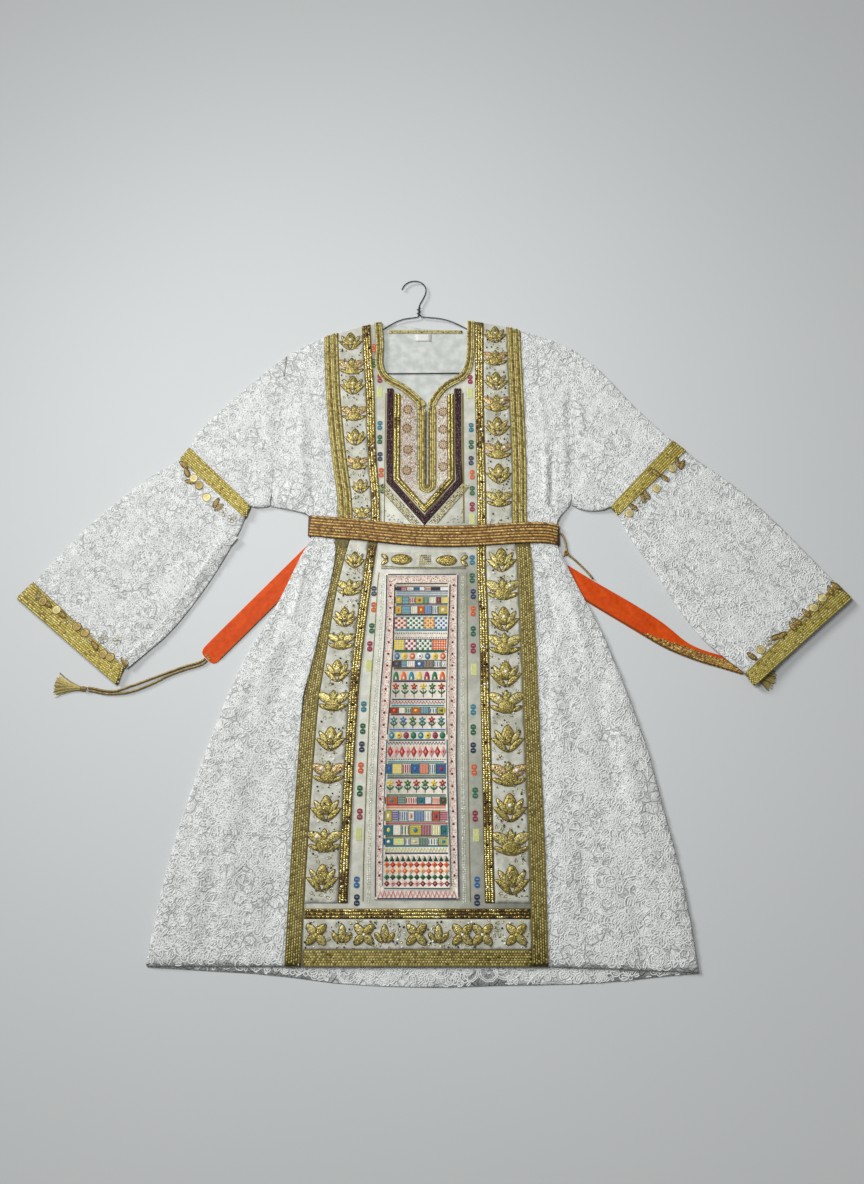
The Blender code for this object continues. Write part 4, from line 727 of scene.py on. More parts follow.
lace_cord, shader, place = new_material("lace_cord", 0.7, sheen=0.3)
fibre = place.noise(900)
shade = fibre * 0.6 + place.noise(40) * 0.5
feed(shader, Base_Color=shade.soft(0.3, 0.8).tint(srgb(216, 219, 216), srgb(234, 236, 234)))
bumped(shader, fibre, 0.3)

for seed, node in enumerate(FOLDS, 21):
    lace_cords(node + "_cords", surface_of(cloths[node], *lips.get(node, ())), *box_mm(node), seed)


def thread_material(name, roughness, metallic=0.0, sheen=0.0, vary=0.3, grain=1100, coat=0.0, depth=0.2):
    """Yarn, sequins or beads that take their colour from the piece's own colour attribute."""
    material, shader, place = new_material(name, roughness, metallic, sheen)
    colour = place.node("ShaderNodeAttribute", {}, attribute_name="thread")
    shade = place.noise(grain, 2.0)
    varied = shade.soft(0.3, 0.7, 1 - vary, 1 + vary * 0.4)
    both = place.node("ShaderNodeMix", {0: 1.0, 6: colour, 7: varied}, 2, data_type="RGBA",
                      blend_type="MULTIPLY")
    feed(shader, Base_Color=both, Coat_Weight=coat)
    bumped(shader, shade, depth)
    return material


thread = thread_material("thread", 0.6, sheen=0.15)
gold_thread = thread_material("gold_thread", 0.48, 0.35, sheen=0.1, vary=0.4)
sequins = thread_material("sequins", 0.3, 0.75, vary=0.25, grain=500, depth=0.1)
beads = thread_material("beads", 0.22, 0.0, vary=0.15, coat=0.4, depth=0.05)


# The front panel is white satin from shoulder to hem, cut round the neck and down its slit, and every
# braid and strip is sewn on it. The back's inner side shows the same satin within the neck.
satin, shader, place = new_material("white_satin", 0.42, sheen=0.1)
slub = place.noise(90, 3.0)
shade = slub * 0.7 + place.noise(14) * 0.4
feed(shader, Base_Color=shade.soft(0.3, 0.8).tint(srgb(176, 177, 163), srgb(206, 206, 193)))
bumped(shader, slub, 0.5)
cloth_from("front_panel", "front_panel_satin", satin, levels=1, seed=31, depth=0.08)

GOLD, PALE_GOLD, DEEP_GOLD, OLIVE = srgb(180, 164, 88), srgb(206, 192, 122), srgb(106, 86, 36), srgb(138, 124,
                                                                                                     58)
WHITE, PEARL, BLACK = srgb(236, 236, 230), srgb(240, 238, 228), srgb(42, 44, 42)
BROWN, WINE, NAVY = srgb(96, 66, 32), srgb(58, 32, 42), srgb(34, 48, 84)

PANEL = (
    (505, -195, -121, 80, 152), (440, -192, -116, 79, 153), (360, -187, -110, 78, 155),
    (285, -179, -108, 79, 156.5), (230, -171.5, -104, 79.5, 157), (185, -164, -99, 80, 156),
    (150, -161.5, -98, 80, 155), (130, -161, -98.5, 79.5, 155.5), (108, -163.5, -100.5, 79, 157.5),
    (92, -168.5, -103, 78, 160.5), (60, -176.5, -107, 78, 162), (18, -185, -112, 79, 163),
    (-30, -192, -118, 80.5, 163.5), (-90, -199.5, -124, 81, 165), (-160, -209.5, -129.5, 81, 166),
    (-245, -214, -133, 82, 167.5), (-400, -220, -137.5, 83, 170), (-470, -222, -139, 84, 170),
    (-560, -224, -141, 85, 170),
)
PANEL_Y, BRAID_LEFT, SEQUIN_LEFT, SEQUIN_RIGHT, BRAID_RIGHT = range(5)


def edge_x(table, y, column=1):
    """How far across the front a line of a table lies at a height, the tables running downwards."""
    rows = np.array(table[::-1], dtype=float)
    return np.interp(y, rows[:, PANEL_Y], rows[:, column])


def panel_x(column, y):
    """How far across the front one of the panel's lines lies at a height."""
    return edge_x(PANEL, y, column)


GRAIN = (np.array([(0.5, 0, 0), (0.26, 0.5, 0), (-0.26, 0.5, 0), (-0.5, 0, 0), (-0.26, -0.5, 0),
                   (0.26, -0.5, 0),
                   (0.24, 0, 1), (-0.24, 0, 1)], float),
         np.array([(0, 1, 6), (1, 2, 7), (1, 7, 6), (2, 3, 7), (3, 4, 7), (4, 5, 6), (4, 6, 7), (5, 0, 6)]))


def disc_shape(sides, shoulder, brim):
    """A low round shape, one across and one high, for sequins and beads."""
    angles = np.arange(sides) * 2 * math.pi / sides
    ring = np.column_stack([np.cos(angles), np.sin(angles)]) / 2
    points = np.concatenate([np.column_stack([ring, np.zeros(sides)]),
                             np.column_stack([ring * shoulder, np.full(sides, 1 - brim)]), [(0, 0, 1)]])
    a = np.arange(sides)
    b = (a + 1) % sides
    faces = np.concatenate([np.stack([a, b, b + sides], 1), np.stack([a, b + sides, a + sides], 1),
                            np.stack([a + sides, b + sides, np.full(sides, 2 * sides)], 1)])
    return points, faces


SEQUIN, BEAD = disc_shape(8, 0.86, 0.55), disc_shape(6, 0.74, 0.22)


def spread(work, shape, spots, turns, lengths, widths, heights, colours, lift=0.0, tilt=0.0):
    """Copies of a small shape, each at its own spot, turn, size and colour."""
    spots = np.asarray(spots, dtype=float)
    base = np.array([np.nan if z is None else z for z in (work.height_at(x, y) for x, y in spots)])
    turns, lengths, widths, heights = (np.broadcast_to(np.asarray(v, dtype=float), (len(spots),))
                                       for v in (turns, lengths, widths, heights))
    colours = np.broadcast_to(np.asarray(colours, dtype=float), (len(spots), 3))
    kept = ~np.isnan(base)
    points, faces = shape
    x = points[:, 0] * lengths[kept][:, None]
    y = points[:, 1] * widths[kept][:, None]
    c, s = np.cos(turns[kept])[:, None], np.sin(turns[kept])[:, None]
    z = points[:, 2] * heights[kept][:, None] + base[kept][:, None] + lift + tilt * x
    made = np.stack([spots[kept, 0][:, None] + x * c - y * s, spots[kept, 1][:, None] + x * s + y * c, z],
                    axis=2)
    n = len(points)
    all_faces = (faces[None] + (np.arange(kept.sum()) * n)[:, None, None]).reshape(-1, 3)
    work.points.append(made.reshape(-1, 3))
    work.faces.append(all_faces.astype(np.int32) + work.count)
    work.colours.append(np.repeat(colours[kept], n, axis=0))
    work.count += len(made) * n


def picked(rng, colours, shares, count):
    """A colour drawn for each of a number of small things."""
    return np.array(colours, dtype=float)[rng.choice(len(colours), count, p=np.array(shares) / sum(shares))]


def stitch_columns(work, path, width, rng, slant, fill=0.86, columns=6, pitch=4.2, margin=1.3):
    """Columns of woven gold stitches along a band, every other one half a stitch on."""
    pace = (width - 2 * margin) / columns
    for k in range(columns):
        spots, turns, _ = along(beside(path, -width / 2 + margin + (k + 0.5) * pace), pitch)
        if k % 2:
            spots = spots + np.stack([np.cos(turns), np.sin(turns)], axis=1) * pitch / 2
        n = len(spots)
        spread(work, GRAIN, spots, turns + slant * (1 if k % 2 else -1), pitch * rng.uniform(0.86, 1.02, n),
               pace * fill, 0.55 * rng.uniform(0.8, 1.15, n), picked(rng, *WOVEN_GOLD, n))


def corded(work, path, lanes, pitch, width, seed, rise=0.95):
    """Cords side by side along a band, each of slanted stitches."""
    rng = np.random.default_rng(seed)
    for away, tones, shares in lanes:
        spots, turns, _ = along(beside(path, away), pitch)
        n = len(spots)
        spread(work, GRAIN, spots, turns + 0.42, pitch * 1.5, width, rise * rng.uniform(0.85, 1.1, n),
               picked(rng, tones, shares, n))


PALE_CORD, DARK_CHAIN = ((PALE_GOLD, GOLD, OLIVE), (4, 4, 1.5)), ((DEEP_GOLD, OLIVE, BROWN), (3, 3, 2))
WOVEN_GOLD = ((PALE_GOLD, GOLD, OLIVE, DEEP_GOLD), (4, 6, 3, 0.6))


def long_line(work, path, width, rise, colour, step=4.0, size=7):
    """A cord along a long path, laid in short runs so that it follows the surface."""
    spots, _, _ = along(path, step)
    for i in range(0, len(spots) - 1, size):
        work.line(spots[i:i + size + 1], width, rise, colour)


def ground(node, material, levels=1, ending="_ground"):
    """A band's or strip's ground on its solid. Gives the height of its top over a place."""
    return surface_of(cloth_from(node, node + ending, material, levels=levels, depth=0.0))


# Wide woven gold braid frames the front down both sides and along the hem. Columns of lurex chain
# lie on a dark olive ground, with a plain cord at each edge; all is sewn flat on the satin.
olive_ground = mottled("olive_ground", 0.62, 0.2, 0.0, 260, (78, 66, 28), (122, 108, 52), (700, 2.0), 0.4)
BRAID_WIDTH, HEM_BRAID_Y, CHEST, SKIRT = 24.0, -548.25, (500, 128), (92, -556)


def down(column, shift, top, low, step=12.0):
    """A line of points down the front beside one of the panel's lines."""
    y = np.arange(top, low, -step)
    y = np.append(y, low)
    return np.stack([panel_x(column, y) + shift, y], axis=1)


chest_lanes = [(away, *(DARK_CHAIN if k % 3 == 2 else PALE_CORD)) for k,
               away in enumerate(np.linspace(-9.4, 9.4, 7))]
for node, column, shift, seed in (("outer_braid_left", BRAID_LEFT, BRAID_WIDTH / 2, 41),
                                  ("outer_braid_right", BRAID_RIGHT, -BRAID_WIDTH / 2, 42)):
    work = Needlework(ground(node, olive_ground))
    corded(work, down(column, shift, *CHEST), chest_lanes, 3.2, 2.5, seed, 0.8)
    stitch_columns(work, down(column, shift, *SKIRT), BRAID_WIDTH, np.random.default_rng(seed), 0.2, 0.62)
    for edge in (-1, 1):
        for top, low in ((CHEST[0] + 2, CHEST[1] - 2), (SKIRT[0] + 2, SKIRT[1] - 2)):
            long_line(work, beside(down(column, shift, top, low, 6.0), edge * (BRAID_WIDTH / 2 - 0.9)), 1.5,
                      0.8, OLIVE)
    work.made(node + "_chain", gold_thread, "gold_braid")
work = Needlework(ground("hem_braid", olive_ground))
hem_path = np.stack([np.linspace(-197, 145, 60), np.full(60, HEM_BRAID_Y)], axis=1)
stitch_columns(work, hem_path, BRAID_WIDTH - 0.5, np.random.default_rng(43), 0.24)
for edge in (-1, 1):
    long_line(work, beside(hem_path, edge * 10.8), 1.5, 0.8, OLIVE)
work.made("hem_braid_chain", gold_thread, "gold_braid")


# Narrow braid closely sewn with overlapping yellow-gold sequins runs inside the motif strips, and a
# band of the same closes the strips above the hem. Brown patches and a few pearls break the gold.
SEQUIN_ROW, SEQUIN_EDGE = 3.4, 1.8
SEQUIN_TONES = ((srgb(220, 202, 122), srgb(198, 178, 100), srgb(236, 228, 172), srgb(146, 124, 62)),
                (5, 4, 2, 1.2))
SEQUIN_SHADES = ((srgb(104, 80, 42), srgb(74, 54, 36), srgb(176, 152, 84)), (4, 2, 4))
ACCENT_TONES = ((PEARL, srgb(60, 40, 30), srgb(220, 190, 90)), (3, 3, 1))


def sequin_run(work, path, width, seed, dark=0.2):
    """Overlapping sequins over a band, in brown patches where the dark share says."""
    rng = np.random.default_rng(seed)
    rows = int(width / SEQUIN_ROW)
    for k in range(rows):
        away = -width / 2 + SEQUIN_EDGE + k * (width - 2 * SEQUIN_EDGE) / (rows - 1)
        spots, _, at = along(beside(path, away), 2.9)
        n = len(spots)
        spots = spots + rng.uniform(-0.5, 0.5, (n, 2))
        patch = np.sin(at / 17 + seed) + np.sin(at / 41 + 2 * seed) + 0.6 * np.sin(at / 7 + k)
        tones = picked(rng, *SEQUIN_TONES, n)
        shadowed = patch > 1.5 - 2.2 * dark
        tones[shadowed] = picked(rng, *SEQUIN_SHADES, shadowed.sum())
        spread(work, SEQUIN, spots, rng.uniform(0, 6.3, n), rng.uniform(3.2, 4.0, n), 3.6, 0.75, tones, 0.05,
               tilt=0.12)


def sequin_accents(work, path, seed):
    """Pearls and dark beads that stand on a sequin band."""
    rng = np.random.default_rng(seed)
    spots = along(path, 31.0)[0]
    spots = spots + rng.uniform(-3.0, 3.0, spots.shape)
    spread(work, BEAD, spots, 0.0, 5.2, 5.2, 1.5, picked(rng, *ACCENT_TONES, len(spots)), 0.4)


for node, column, seed in (("sequin_braid_left", SEQUIN_LEFT, 51), ("sequin_braid_right", SEQUIN_RIGHT, 52)):
    top_at = ground(node, olive_ground)
    work, edges = Needlework(top_at), Needlework(top_at)
    for top, low in ((500, 126), (94, -468)):
        path = down(column, 0.0, top, low)
        sequin_run(work, path, 12.4, seed)
        sequin_accents(work, path, seed + 5)
        for side in (-1, 1):
            long_line(edges, beside(path, side * 6.7), 1.2, 1.1, DEEP_GOLD)
    work.made(node + "_sequins", sequins, "gold_braid")
    edges.made(node + "_edges", gold_thread, "gold_braid")
work = Needlework(ground("sequin_band", olive_ground))
low, high = box_mm("sequin_band")
band_path = np.stack([np.linspace(low[0] + 1, high[0] - 1, 50), np.full(50, (low[1] + high[1]) / 2)], axis=1)
sequin_run(work, band_path, 13.0, 57, dark=0.85)
work.made("sequin_band_sequins", sequins, "gold_braid")


# The motif strips are white satin with flowers padded in gold thread: a bud between two swept leaves
# and a shell under two lobes, by turns. Dark beads, pearls and sequins are sewn round them.
LEFT_MOTIFS_Y = (468, 420, 384, 332, 287, 240, 198, 151, 69, 22, -28, -67, -116, -164, -224, -276, -331, -379,
                 -434)
RIGHT_MOTIFS_Y = (481, 436, 392, 350, 307, 263, 221, 176, 69, 19, -31, -72, -121, -166, -224, -279, -330,
                  -382, -437)
HEM_MOTIFS_X, HEM_MOTIFS_Y = (-178, -139, -106, -75, -27, 6, 42, 72, 123), -515.0
CELL, STRIP_WIDTH = 40, 40.0
PETAL_GLINTS = ((PALE_GOLD, srgb(226, 200, 92), OLIVE, srgb(140, 110, 50)), (4, 4, 2, 1.5))
STREWN = ((GOLD, PALE_GOLD, srgb(150, 116, 60), srgb(206, 206, 190)), (4, 3, 3, 3))


def oval(half_wide, half_high, x=0.0, y=0.0, angle=0.0, count=14, point=0.0):
    """An oval, drawn out to a point at its far end if point is over zero."""
    t = np.arange(count) * 2 * math.pi / count + math.pi / 2
    far = 1 + point * np.maximum(np.sin(t), 0) ** 3
    narrow = 1 - 0.35 * point * np.maximum(np.sin(t), 0)
    return turned(np.column_stack([half_wide * np.cos(t) * narrow, half_high * np.sin(t) * far]), angle, x, y)


def crescent(side, reach, low, tip, thick, count=9):
    """A leaf that sweeps from the middle, below, to a tip at one side."""
    t = np.linspace(0, 1, count)
    x = side * reach * t
    under = low + (tip - low) * t ** 1.8
    over = low + thick * 0.5 + (tip - low - thick * 0.5) * t ** 1.5 + thick * np.sin(math.pi * t) * 0.75
    return np.concatenate([np.column_stack([x, under]), np.column_stack([x, over])[::-1][1:-1]])


# The flowers' gold speckles strongly light and dark. This is partly the thread's own uneven tone and partly
# painted glints that stand in for the sparkle of sequins.
flower_gold_and_glints = thread_material("flower_gold_and_glints", 0.42, 0.4, sheen=0.1, vary=0.8, grain=430, depth=0.5)
strip_satin = mottled("strip_satin", 0.5, 0.0, 0.1, 70, (170, 170, 154), (206, 206, 194), (160, 3.0), 0.7)


class Motifs:
    """Flowers in gold on one satin strip: padding and outlines in thread, sequins, and beads."""

    def __init__(self, name, seed, levels=2):
        top = ground(name, strip_satin, levels, "_satin")
        self.name, self.rng = name, np.random.default_rng(seed)
        self.padding, self.shine, self.round = Needlework(top, True), Needlework(top), Needlework(top)

    def shape(self, outline, fill, x, y, rise, rim=BROWN, glitter=6):
        """One padded petal or leaf, outlined, with sequins strewn on it."""
        outline = np.asarray(outline) + (x, y)
        self.padding.leaf(outline, rise, fill)
        self.padding.line(outline, 1.25, rise * 0.75 + 0.25, rim, closed=True)
        middle = outline.mean(axis=0)
        picks = outline[self.rng.integers(0, len(outline), glitter)]
        share = self.rng.uniform(0.15, 0.66, (glitter, 1))
        spots = picks * share + middle * (1 - share)
        spread(self.shine, SEQUIN, spots, 0.0, self.rng.uniform(2.2, 3.2, glitter), 2.6, 0.7,
               picked(self.rng, *PETAL_GLINTS, glitter), rise * 0.55, tilt=0.1)

    def bead(self, x, y, across, colour, high):
        """One bead sewn on."""
        spread(self.round, BEAD, [(x, y)], 0.0, across, across, high, colour)

    def bud(self, x, y, s, dark):
        """A bud between two swept leaves, s times the common size."""
        rng = self.rng
        for side in (-1, 1):
            self.shape(crescent(side, 21.5 * s, -17 * s, 1.0 * s, 8.5 * s),
                       GOLD if rng.random() < 0.7 else PALE_GOLD,
                       x, y, 0.9, glitter=5)
            hatch = crescent(side, 19 * s, -14 * s, -1.5 * s, 3.0 * s)[:9] + (x, y)
            self.padding.line(hatch, 0.9, 1.35, DEEP_GOLD)
            self.shape(oval(4.2 * s, 9.6 * s, side * 9.4 * s, 1.0 * s, -side * 0.6, point=0.3), PALE_GOLD, x,
                       y, 1.05,
                       glitter=4)
        self.shape(oval(8.6 * s, 11.6 * s, 0, 3.2 * s, point=0.25), GOLD, x, y, 1.25, glitter=9)
        self.padding.line(oval(6.0 * s, 7.0 * s, x, y + 2.6 * s, point=0.3, count=12), 0.9, 1.75, DEEP_GOLD,
                          closed=True)
        if dark:
            for _ in range(7):
                self.bead(x + rng.uniform(-4, 4) * s, y + rng.uniform(-2, 9) * s, 2.4, srgb(66, 46, 60), 2.4)
        else:
            self.bead(x, y + 3 * s, 5.6 * s, PEARL, 2.6)

    def fan(self, x, y, s, rosy):
        """A shell under two lobes and a small spray, s times the common size."""
        rng = self.rng
        lobe = srgb(206, 178, 128) if rosy else PALE_GOLD
        for side in (-1, 1):
            self.shape(oval(6.6 * s, 11.0 * s, side * 11.8 * s, 4.4 * s, -side * 1.05, point=0.15), lobe, x,
                       y, 0.95,
                       rim=srgb(140, 96, 60) if rosy else BROWN, glitter=8)
            self.padding.line([(x + side * a * s, y + b * s) for a, b in ((5, -0.5), (11, 3), (17, 6.5))],
                              0.9, 1.5, DEEP_GOLD)
            self.shape(oval(3.0 * s, 7.8 * s, side * 13.6 * s, -8.6 * s, side * 2.0, point=0.2), GOLD, x, y,
                       0.85, glitter=3)
        self.shape(oval(4.8 * s, 7.4 * s, 0, 6.2 * s, point=0.3), GOLD, x, y, 1.05, glitter=4)
        shell = oval(11.4 * s, 10.6 * s, 0, -6.6 * s)
        shell[:, 1] = np.maximum(shell[:, 1], -14.6 * s)
        self.shape(shell, GOLD, x, y, 1.2, glitter=9)
        for k in range(-2, 3):
            self.padding.line([(x + k * a * s, y - b * s) for a, b in ((1.2, 12.5), (2.2, 7), (3.1, 1.5))],
                              0.8, 1.6, PALE_GOLD if k % 2 else DEEP_GOLD)
        for k in (-1, 0, 1):
            self.padding.leaf(oval(1.9 * s, 4.4 * s, x + k * 4.0 * s, y + (11.5 - 2.2 * abs(k)) * s,
                                   -k * 0.55, 9), 0.8,
                              srgb(150, 156, 104))
        if rng.random() < 0.6:
            self.bead(x + rng.choice((-10, 10)) * s, y + 5 * s, 5.4 * s, PEARL, 2.4)

    def scatter(self, x0, x1, y0, y1, taken, count=4):
        """Dark beads in the free satin between the flowers."""
        placed = list(taken)
        for _ in range(count * 14):
            x, y = self.rng.uniform(x0, x1), self.rng.uniform(y0, y1)
            if all(abs(x - a) / wide + abs(y - b) / high > 1 for a, b, wide, high in placed):
                placed.append((x, y, 6.0, 6.0))
                pale = self.rng.random()
                tone = BLACK if pale < 0.62 else srgb(120, 130, 112) if pale < 0.85 else PEARL
                self.bead(x, y, self.rng.uniform(2.8, 4.2), tone, 1.6)
                count -= 1
            if not count:
                break

    def glitter(self, x0, x1, y0, y1, count):
        """Small gold and brown sequins and sprigs strewn over the ground."""
        spots = np.column_stack([self.rng.uniform(x0, x1, count), self.rng.uniform(y0, y1, count)])
        spread(self.shine, SEQUIN, spots, 0.0, self.rng.uniform(1.8, 3.0, count), 2.4, 0.7,
               picked(self.rng, *STREWN, count), tilt=0.1)
        for x, y in spots[:5]:
            turn = self.rng.uniform(0, 6.3)
            for side in (-1, 1):
                self.padding.line(turned([(0, 0), (side * 2.0, 2.6), (side * 1.6, 5.6)], turn, x, y), 0.9,
                                  0.7, OLIVE)

    def made(self):
        """The strip's three joined pieces."""
        self.padding.made(self.name + "_padding", flower_gold_and_glints, "gold_flowers")
        self.shine.made(self.name + "_sequins", sequins, "gold_flowers")
        self.round.made(self.name + "_beads", beads, "dark_beads")


for node, heights, left, right, seed in (
        ("motif_strip_left", LEFT_MOTIFS_Y, (BRAID_LEFT, 26.5), (SEQUIN_LEFT, -9.5), 61),
        ("motif_strip_right", RIGHT_MOTIFS_Y, (SEQUIN_RIGHT, 9.5), (BRAID_RIGHT, -26.5), 62)):
    motifs, taken = Motifs(node, seed), []
    for k, y in enumerate(heights):
        x0, x1 = panel_x(left[0], y) + left[1], panel_x(right[0], y) + right[1]
        s = (x1 - x0) / STRIP_WIDTH
        if k % 2 == 0:
            motifs.bud((x0 + x1) / 2, y, s, dark=k in (8, 10, 14, 16, 18) and (k + seed) % 3 > 0)
        else:
            motifs.fan((x0 + x1) / 2, y, s, rosy=k in (1, 3, 5, 15))
        taken.append(((x0 + x1) / 2, y, 27 * s, 21))
    for top, low in ((490, 130), (88, -464)):
        for y in np.arange(top, low, -CELL):
            x0, x1 = panel_x(left[0], y) + left[1] + 2, panel_x(right[0], y) + right[1] - 2
            near = [t for t in taken if abs(t[1] - y) < 90]
            motifs.scatter(x0, x1, max(y - CELL, low), y, near)
            motifs.glitter(x0, x1, max(y - CELL, low), y, 14)
    motifs.made()


# The hem's strip has four-petalled flowers set crosswise, with upright leaves and dark beads between.
motifs, taken, y = Motifs("hem_motif_strip", 63), [], HEM_MOTIFS_Y
for k, x in enumerate(HEM_MOTIFS_X):
    if k % 2 == 0 or k == 7:
        for quarter in range(4):
            angle = math.pi / 4 + quarter * math.pi / 2
            petal = oval(6.4, 9.2, -math.sin(angle) * 9.6, math.cos(angle) * 9.6, angle, point=0.2)
            motifs.shape(petal, GOLD if quarter % 2 else PALE_GOLD, x, y, 1.1)
        motifs.bead(x, y, 5.0, PEARL if k % 4 else srgb(226, 200, 92), 2.4)
        taken.append((x, y, 24, 24))
    else:
        motifs.shape(oval(6.0, 12.5, 0, 1.0, 0, point=0.1), PALE_GOLD, x, y, 1.1)
        for side in (-1, 1):
            motifs.shape(oval(4.4, 9.0, side * 8.6, -4.5, -side * 0.7), GOLD, x, y, 0.8, glitter=3)
        taken.append((x, y, 15, 20))
for x in range(-195, 141, 28):
    motifs.scatter(x, x + 28, HEM_MOTIFS_Y - 19, HEM_MOTIFS_Y + 19, taken)
    motifs.glitter(x, x + 28, HEM_MOTIFS_Y - 19, HEM_MOTIFS_Y + 19, 22)
motifs.made()


# The plastron is a shield sewn under the neck: a band of dark beads, gold braid inside it, and a field
# of pearls and pink beads with gold rosettes round the slit. Gold beads fill the corners beside it.
SHIELD = {"left": -81.9, "right": 46.6, "top": 378.0, "turn": 205.0, "point": (-16.4, 129.5)}
ROSETTES = ((-45.4, 339), (-46.9, 304), (-44.9, 265), (-46.4, 227), (15.3, 335), (15.2, 302), (15.2, 274),
            (15, 234))
SLIT_X, SLIT_TOP, SLIT_LOW, SLIT_BRAID = -12.4, 338.0, 199.0, 14.0


def shield(inset, top=None):
    """The shield's outline moved inwards, from its left top round its point to its right top."""
    left, right = SHIELD["left"] + inset, SHIELD["right"] - inset
    turn = SHIELD["turn"] + 0.374 * inset
    top = SHIELD["top"] if top is None else top
    point = (SHIELD["point"][0], SHIELD["point"][1] + 1.53 * inset)
    return np.array([(left, top), (left, turn), point, (right, turn), (right, top)])


def in_outline(x, y, path):
    """Whether a point lies within a closed outline."""
    inside = False
    for (x0, y0), (x1, y1) in zip(path, np.roll(path, -1, axis=0)):
        if (y0 > y) != (y1 > y) and x < (x1 - x0) * (y - y0) / (y1 - y0) + x0:
            inside = not inside
    return inside


def bead_rows(work, path, width, pitch, across, tones, shares, seed, high=1.3):
    """Rows of beads along a band."""
    rng = np.random.default_rng(seed)
    rows = max(2, int(width / pitch))
    for k in range(rows):
        spots, turns, _ = along(beside(path, -width / 2 + (k + 0.5) * width / rows), pitch)
        spots = spots + rng.uniform(-0.3, 0.3, spots.shape)
        n = len(spots)
        spread(work, BEAD, spots, turns, across * rng.uniform(0.85, 1.1, n), across, high,
               picked(rng, tones, shares, n))


dark_ground, shader, place = new_material("dark_ground", 0.7)
feed(shader, Base_Color=place.noise(300, 2.0).tint(srgb(44, 26, 36), srgb(84, 54, 52)))
work = Needlework(ground("plastron_band", dark_ground, 0))
bead_rows(work, shield(5.5), 10.4, 2.3, 2.3, (WINE, srgb(84, 50, 48), srgb(150, 110, 62), srgb(34, 22, 34)),
          (6, 4, 1.4, 4), 71)
work.made("plastron_band_beads", beads, "dark_beads")
work = Needlework(ground("plastron_braid", olive_ground, levels=0))
low, high = box_mm("plastron_braid")
inner_middle, inner_top = low[0] - SHIELD["left"] + 5.0, high[1]
sequin_run(work, shield(inner_middle, inner_top), 9.0, 73, dark=0.15)
work.made("plastron_braid_sequins", sequins, "gold_braid")

satin_top = surface_of(cloths["front_panel"])
field, rings, cords = Needlework(satin_top), Needlework(satin_top), Needlework(satin_top)
rng = np.random.default_rng(75)
NECK = ((509, -93, 59), (480, -90, 58), (455, -89, 58), (427, -90, 55), (407, -83, 47), (396, -69, 28),
        (386, -51, 14), (371, -33, 1), (358, -21, -6), (350, -14, -10.8))
neck_left = np.array([(left, y) for y, left, right in NECK], float)
neck_right = np.array([(right, y) for y, left, right in NECK], float)
FIELD_TOP, FIELD_STEP, SLIT_CLEAR = 384.0, 2.5, SLIT_BRAID + 2.6
FIELD_TONES = ((PEARL, srgb(232, 204, 198), srgb(206, 150, 110), srgb(216, 190, 120), srgb(170, 110, 90)),
               (6, 5, 1.3, 1.5, 0.8))
CORNER_TONES = ((GOLD, PALE_GOLD, DEEP_GOLD, srgb(96, 70, 40)), (5, 4, 2, 1))
ROSETTE_RINGS = ((12, 7.2, 3.9, srgb(150, 96, 44)), (8, 4.0, 3.0, srgb(206, 172, 96)),
                 (1, 0.0, 3.4, srgb(190, 120, 80)))
inner_field = shield(inner_middle + 6.0, FIELD_TOP)
rim = np.concatenate([beside(neck_left, -14.5), beside(neck_right, 14.5)[::-1]])


def in_field(x, y):
    """Whether a point lies in the plastron's field, clear of its slit, its rosettes and the neck."""
    on_slit = abs(x - SLIT_X) < SLIT_CLEAR and y > SLIT_LOW - 3 or math.hypot(x - SLIT_X,
                                                                              y - SLIT_LOW) < SLIT_CLEAR
    near = min(math.hypot(x - a, y - b) for a, b in ROSETTES) < 8.2
    return in_outline(x, y, inner_field) and not (on_slit or near or in_outline(x, y, rim))


spots = [(x + rng.uniform(-0.8, 0.8), y + rng.uniform(-0.8, 0.8))
         for y in np.arange(140.0, FIELD_TOP, FIELD_STEP) for x in np.arange(-64.0, 30.0, FIELD_STEP)]
spots = np.array([spot for spot in spots if in_field(*spot)])
spread(field, BEAD, spots, 0.0, rng.uniform(1.7, 2.6, len(spots)), 2.2, rng.uniform(0.8, 1.5, len(spots)),
       picked(rng, *FIELD_TONES, len(spots)))
for x, y in ROSETTES:
    for count, radius, across, tone in ROSETTE_RINGS:
        angles = np.arange(count) * 2 * math.pi / count + rng.uniform(0, 1)
        spread(rings, BEAD, np.column_stack([x + radius * np.cos(angles), y + radius * np.sin(angles)]),
               angles,
               across, across * 0.8, 1.9, tone)
for side, edge in ((-1, SHIELD["left"]), (1, SHIELD["right"])):
    for away in (3.6, 6.4, 9.2, 12.0, 14.4):
        diagonal = shield(-away)[1:3] if side < 0 else shield(-away)[2:4][::-1]
        if away == 14.4:
            spots = along(diagonal, 3.0)[0]
            long_line(cords, spots[spots[:, 1] > 131], 1.6, 1.0, OLIVE)
            continue
        spots = along(diagonal, 2.7)[0]
        spots = spots[spots[:, 1] > 133]
        spots = spots + rng.uniform(-0.7, 0.7, spots.shape)
        spread(field, BEAD, spots, 0.0, rng.uniform(2.0, 3.0, len(spots)), 2.5, 1.4,
               picked(rng, *CORNER_TONES, len(spots)))
    long_line(cords, [(edge + side * 2.2, 372), (edge + side * 2.2, 131)], 1.7, 1.0, OLIVE)
    for _ in range(16):
        a, b = rng.uniform(0, 1, 2)
        spot = (edge + side * (1.0 - a * 30), 134 + b * (28 * (1 - a)))
        spread(field, BEAD, [spot], 0.0, 2.2, 2.2, 1.3, srgb(150, 150, 110))
long_line(cords, shield(12.0), 1.6, 1.2, OLIVE)
long_line(cords, shield(inner_middle + 5.9, inner_top), 1.5, 1.2, OLIVE)
field.made("plastron_field_beads", beads, "gold_flowers")
rings.made("plastron_rosettes", beads, "gold_flowers")


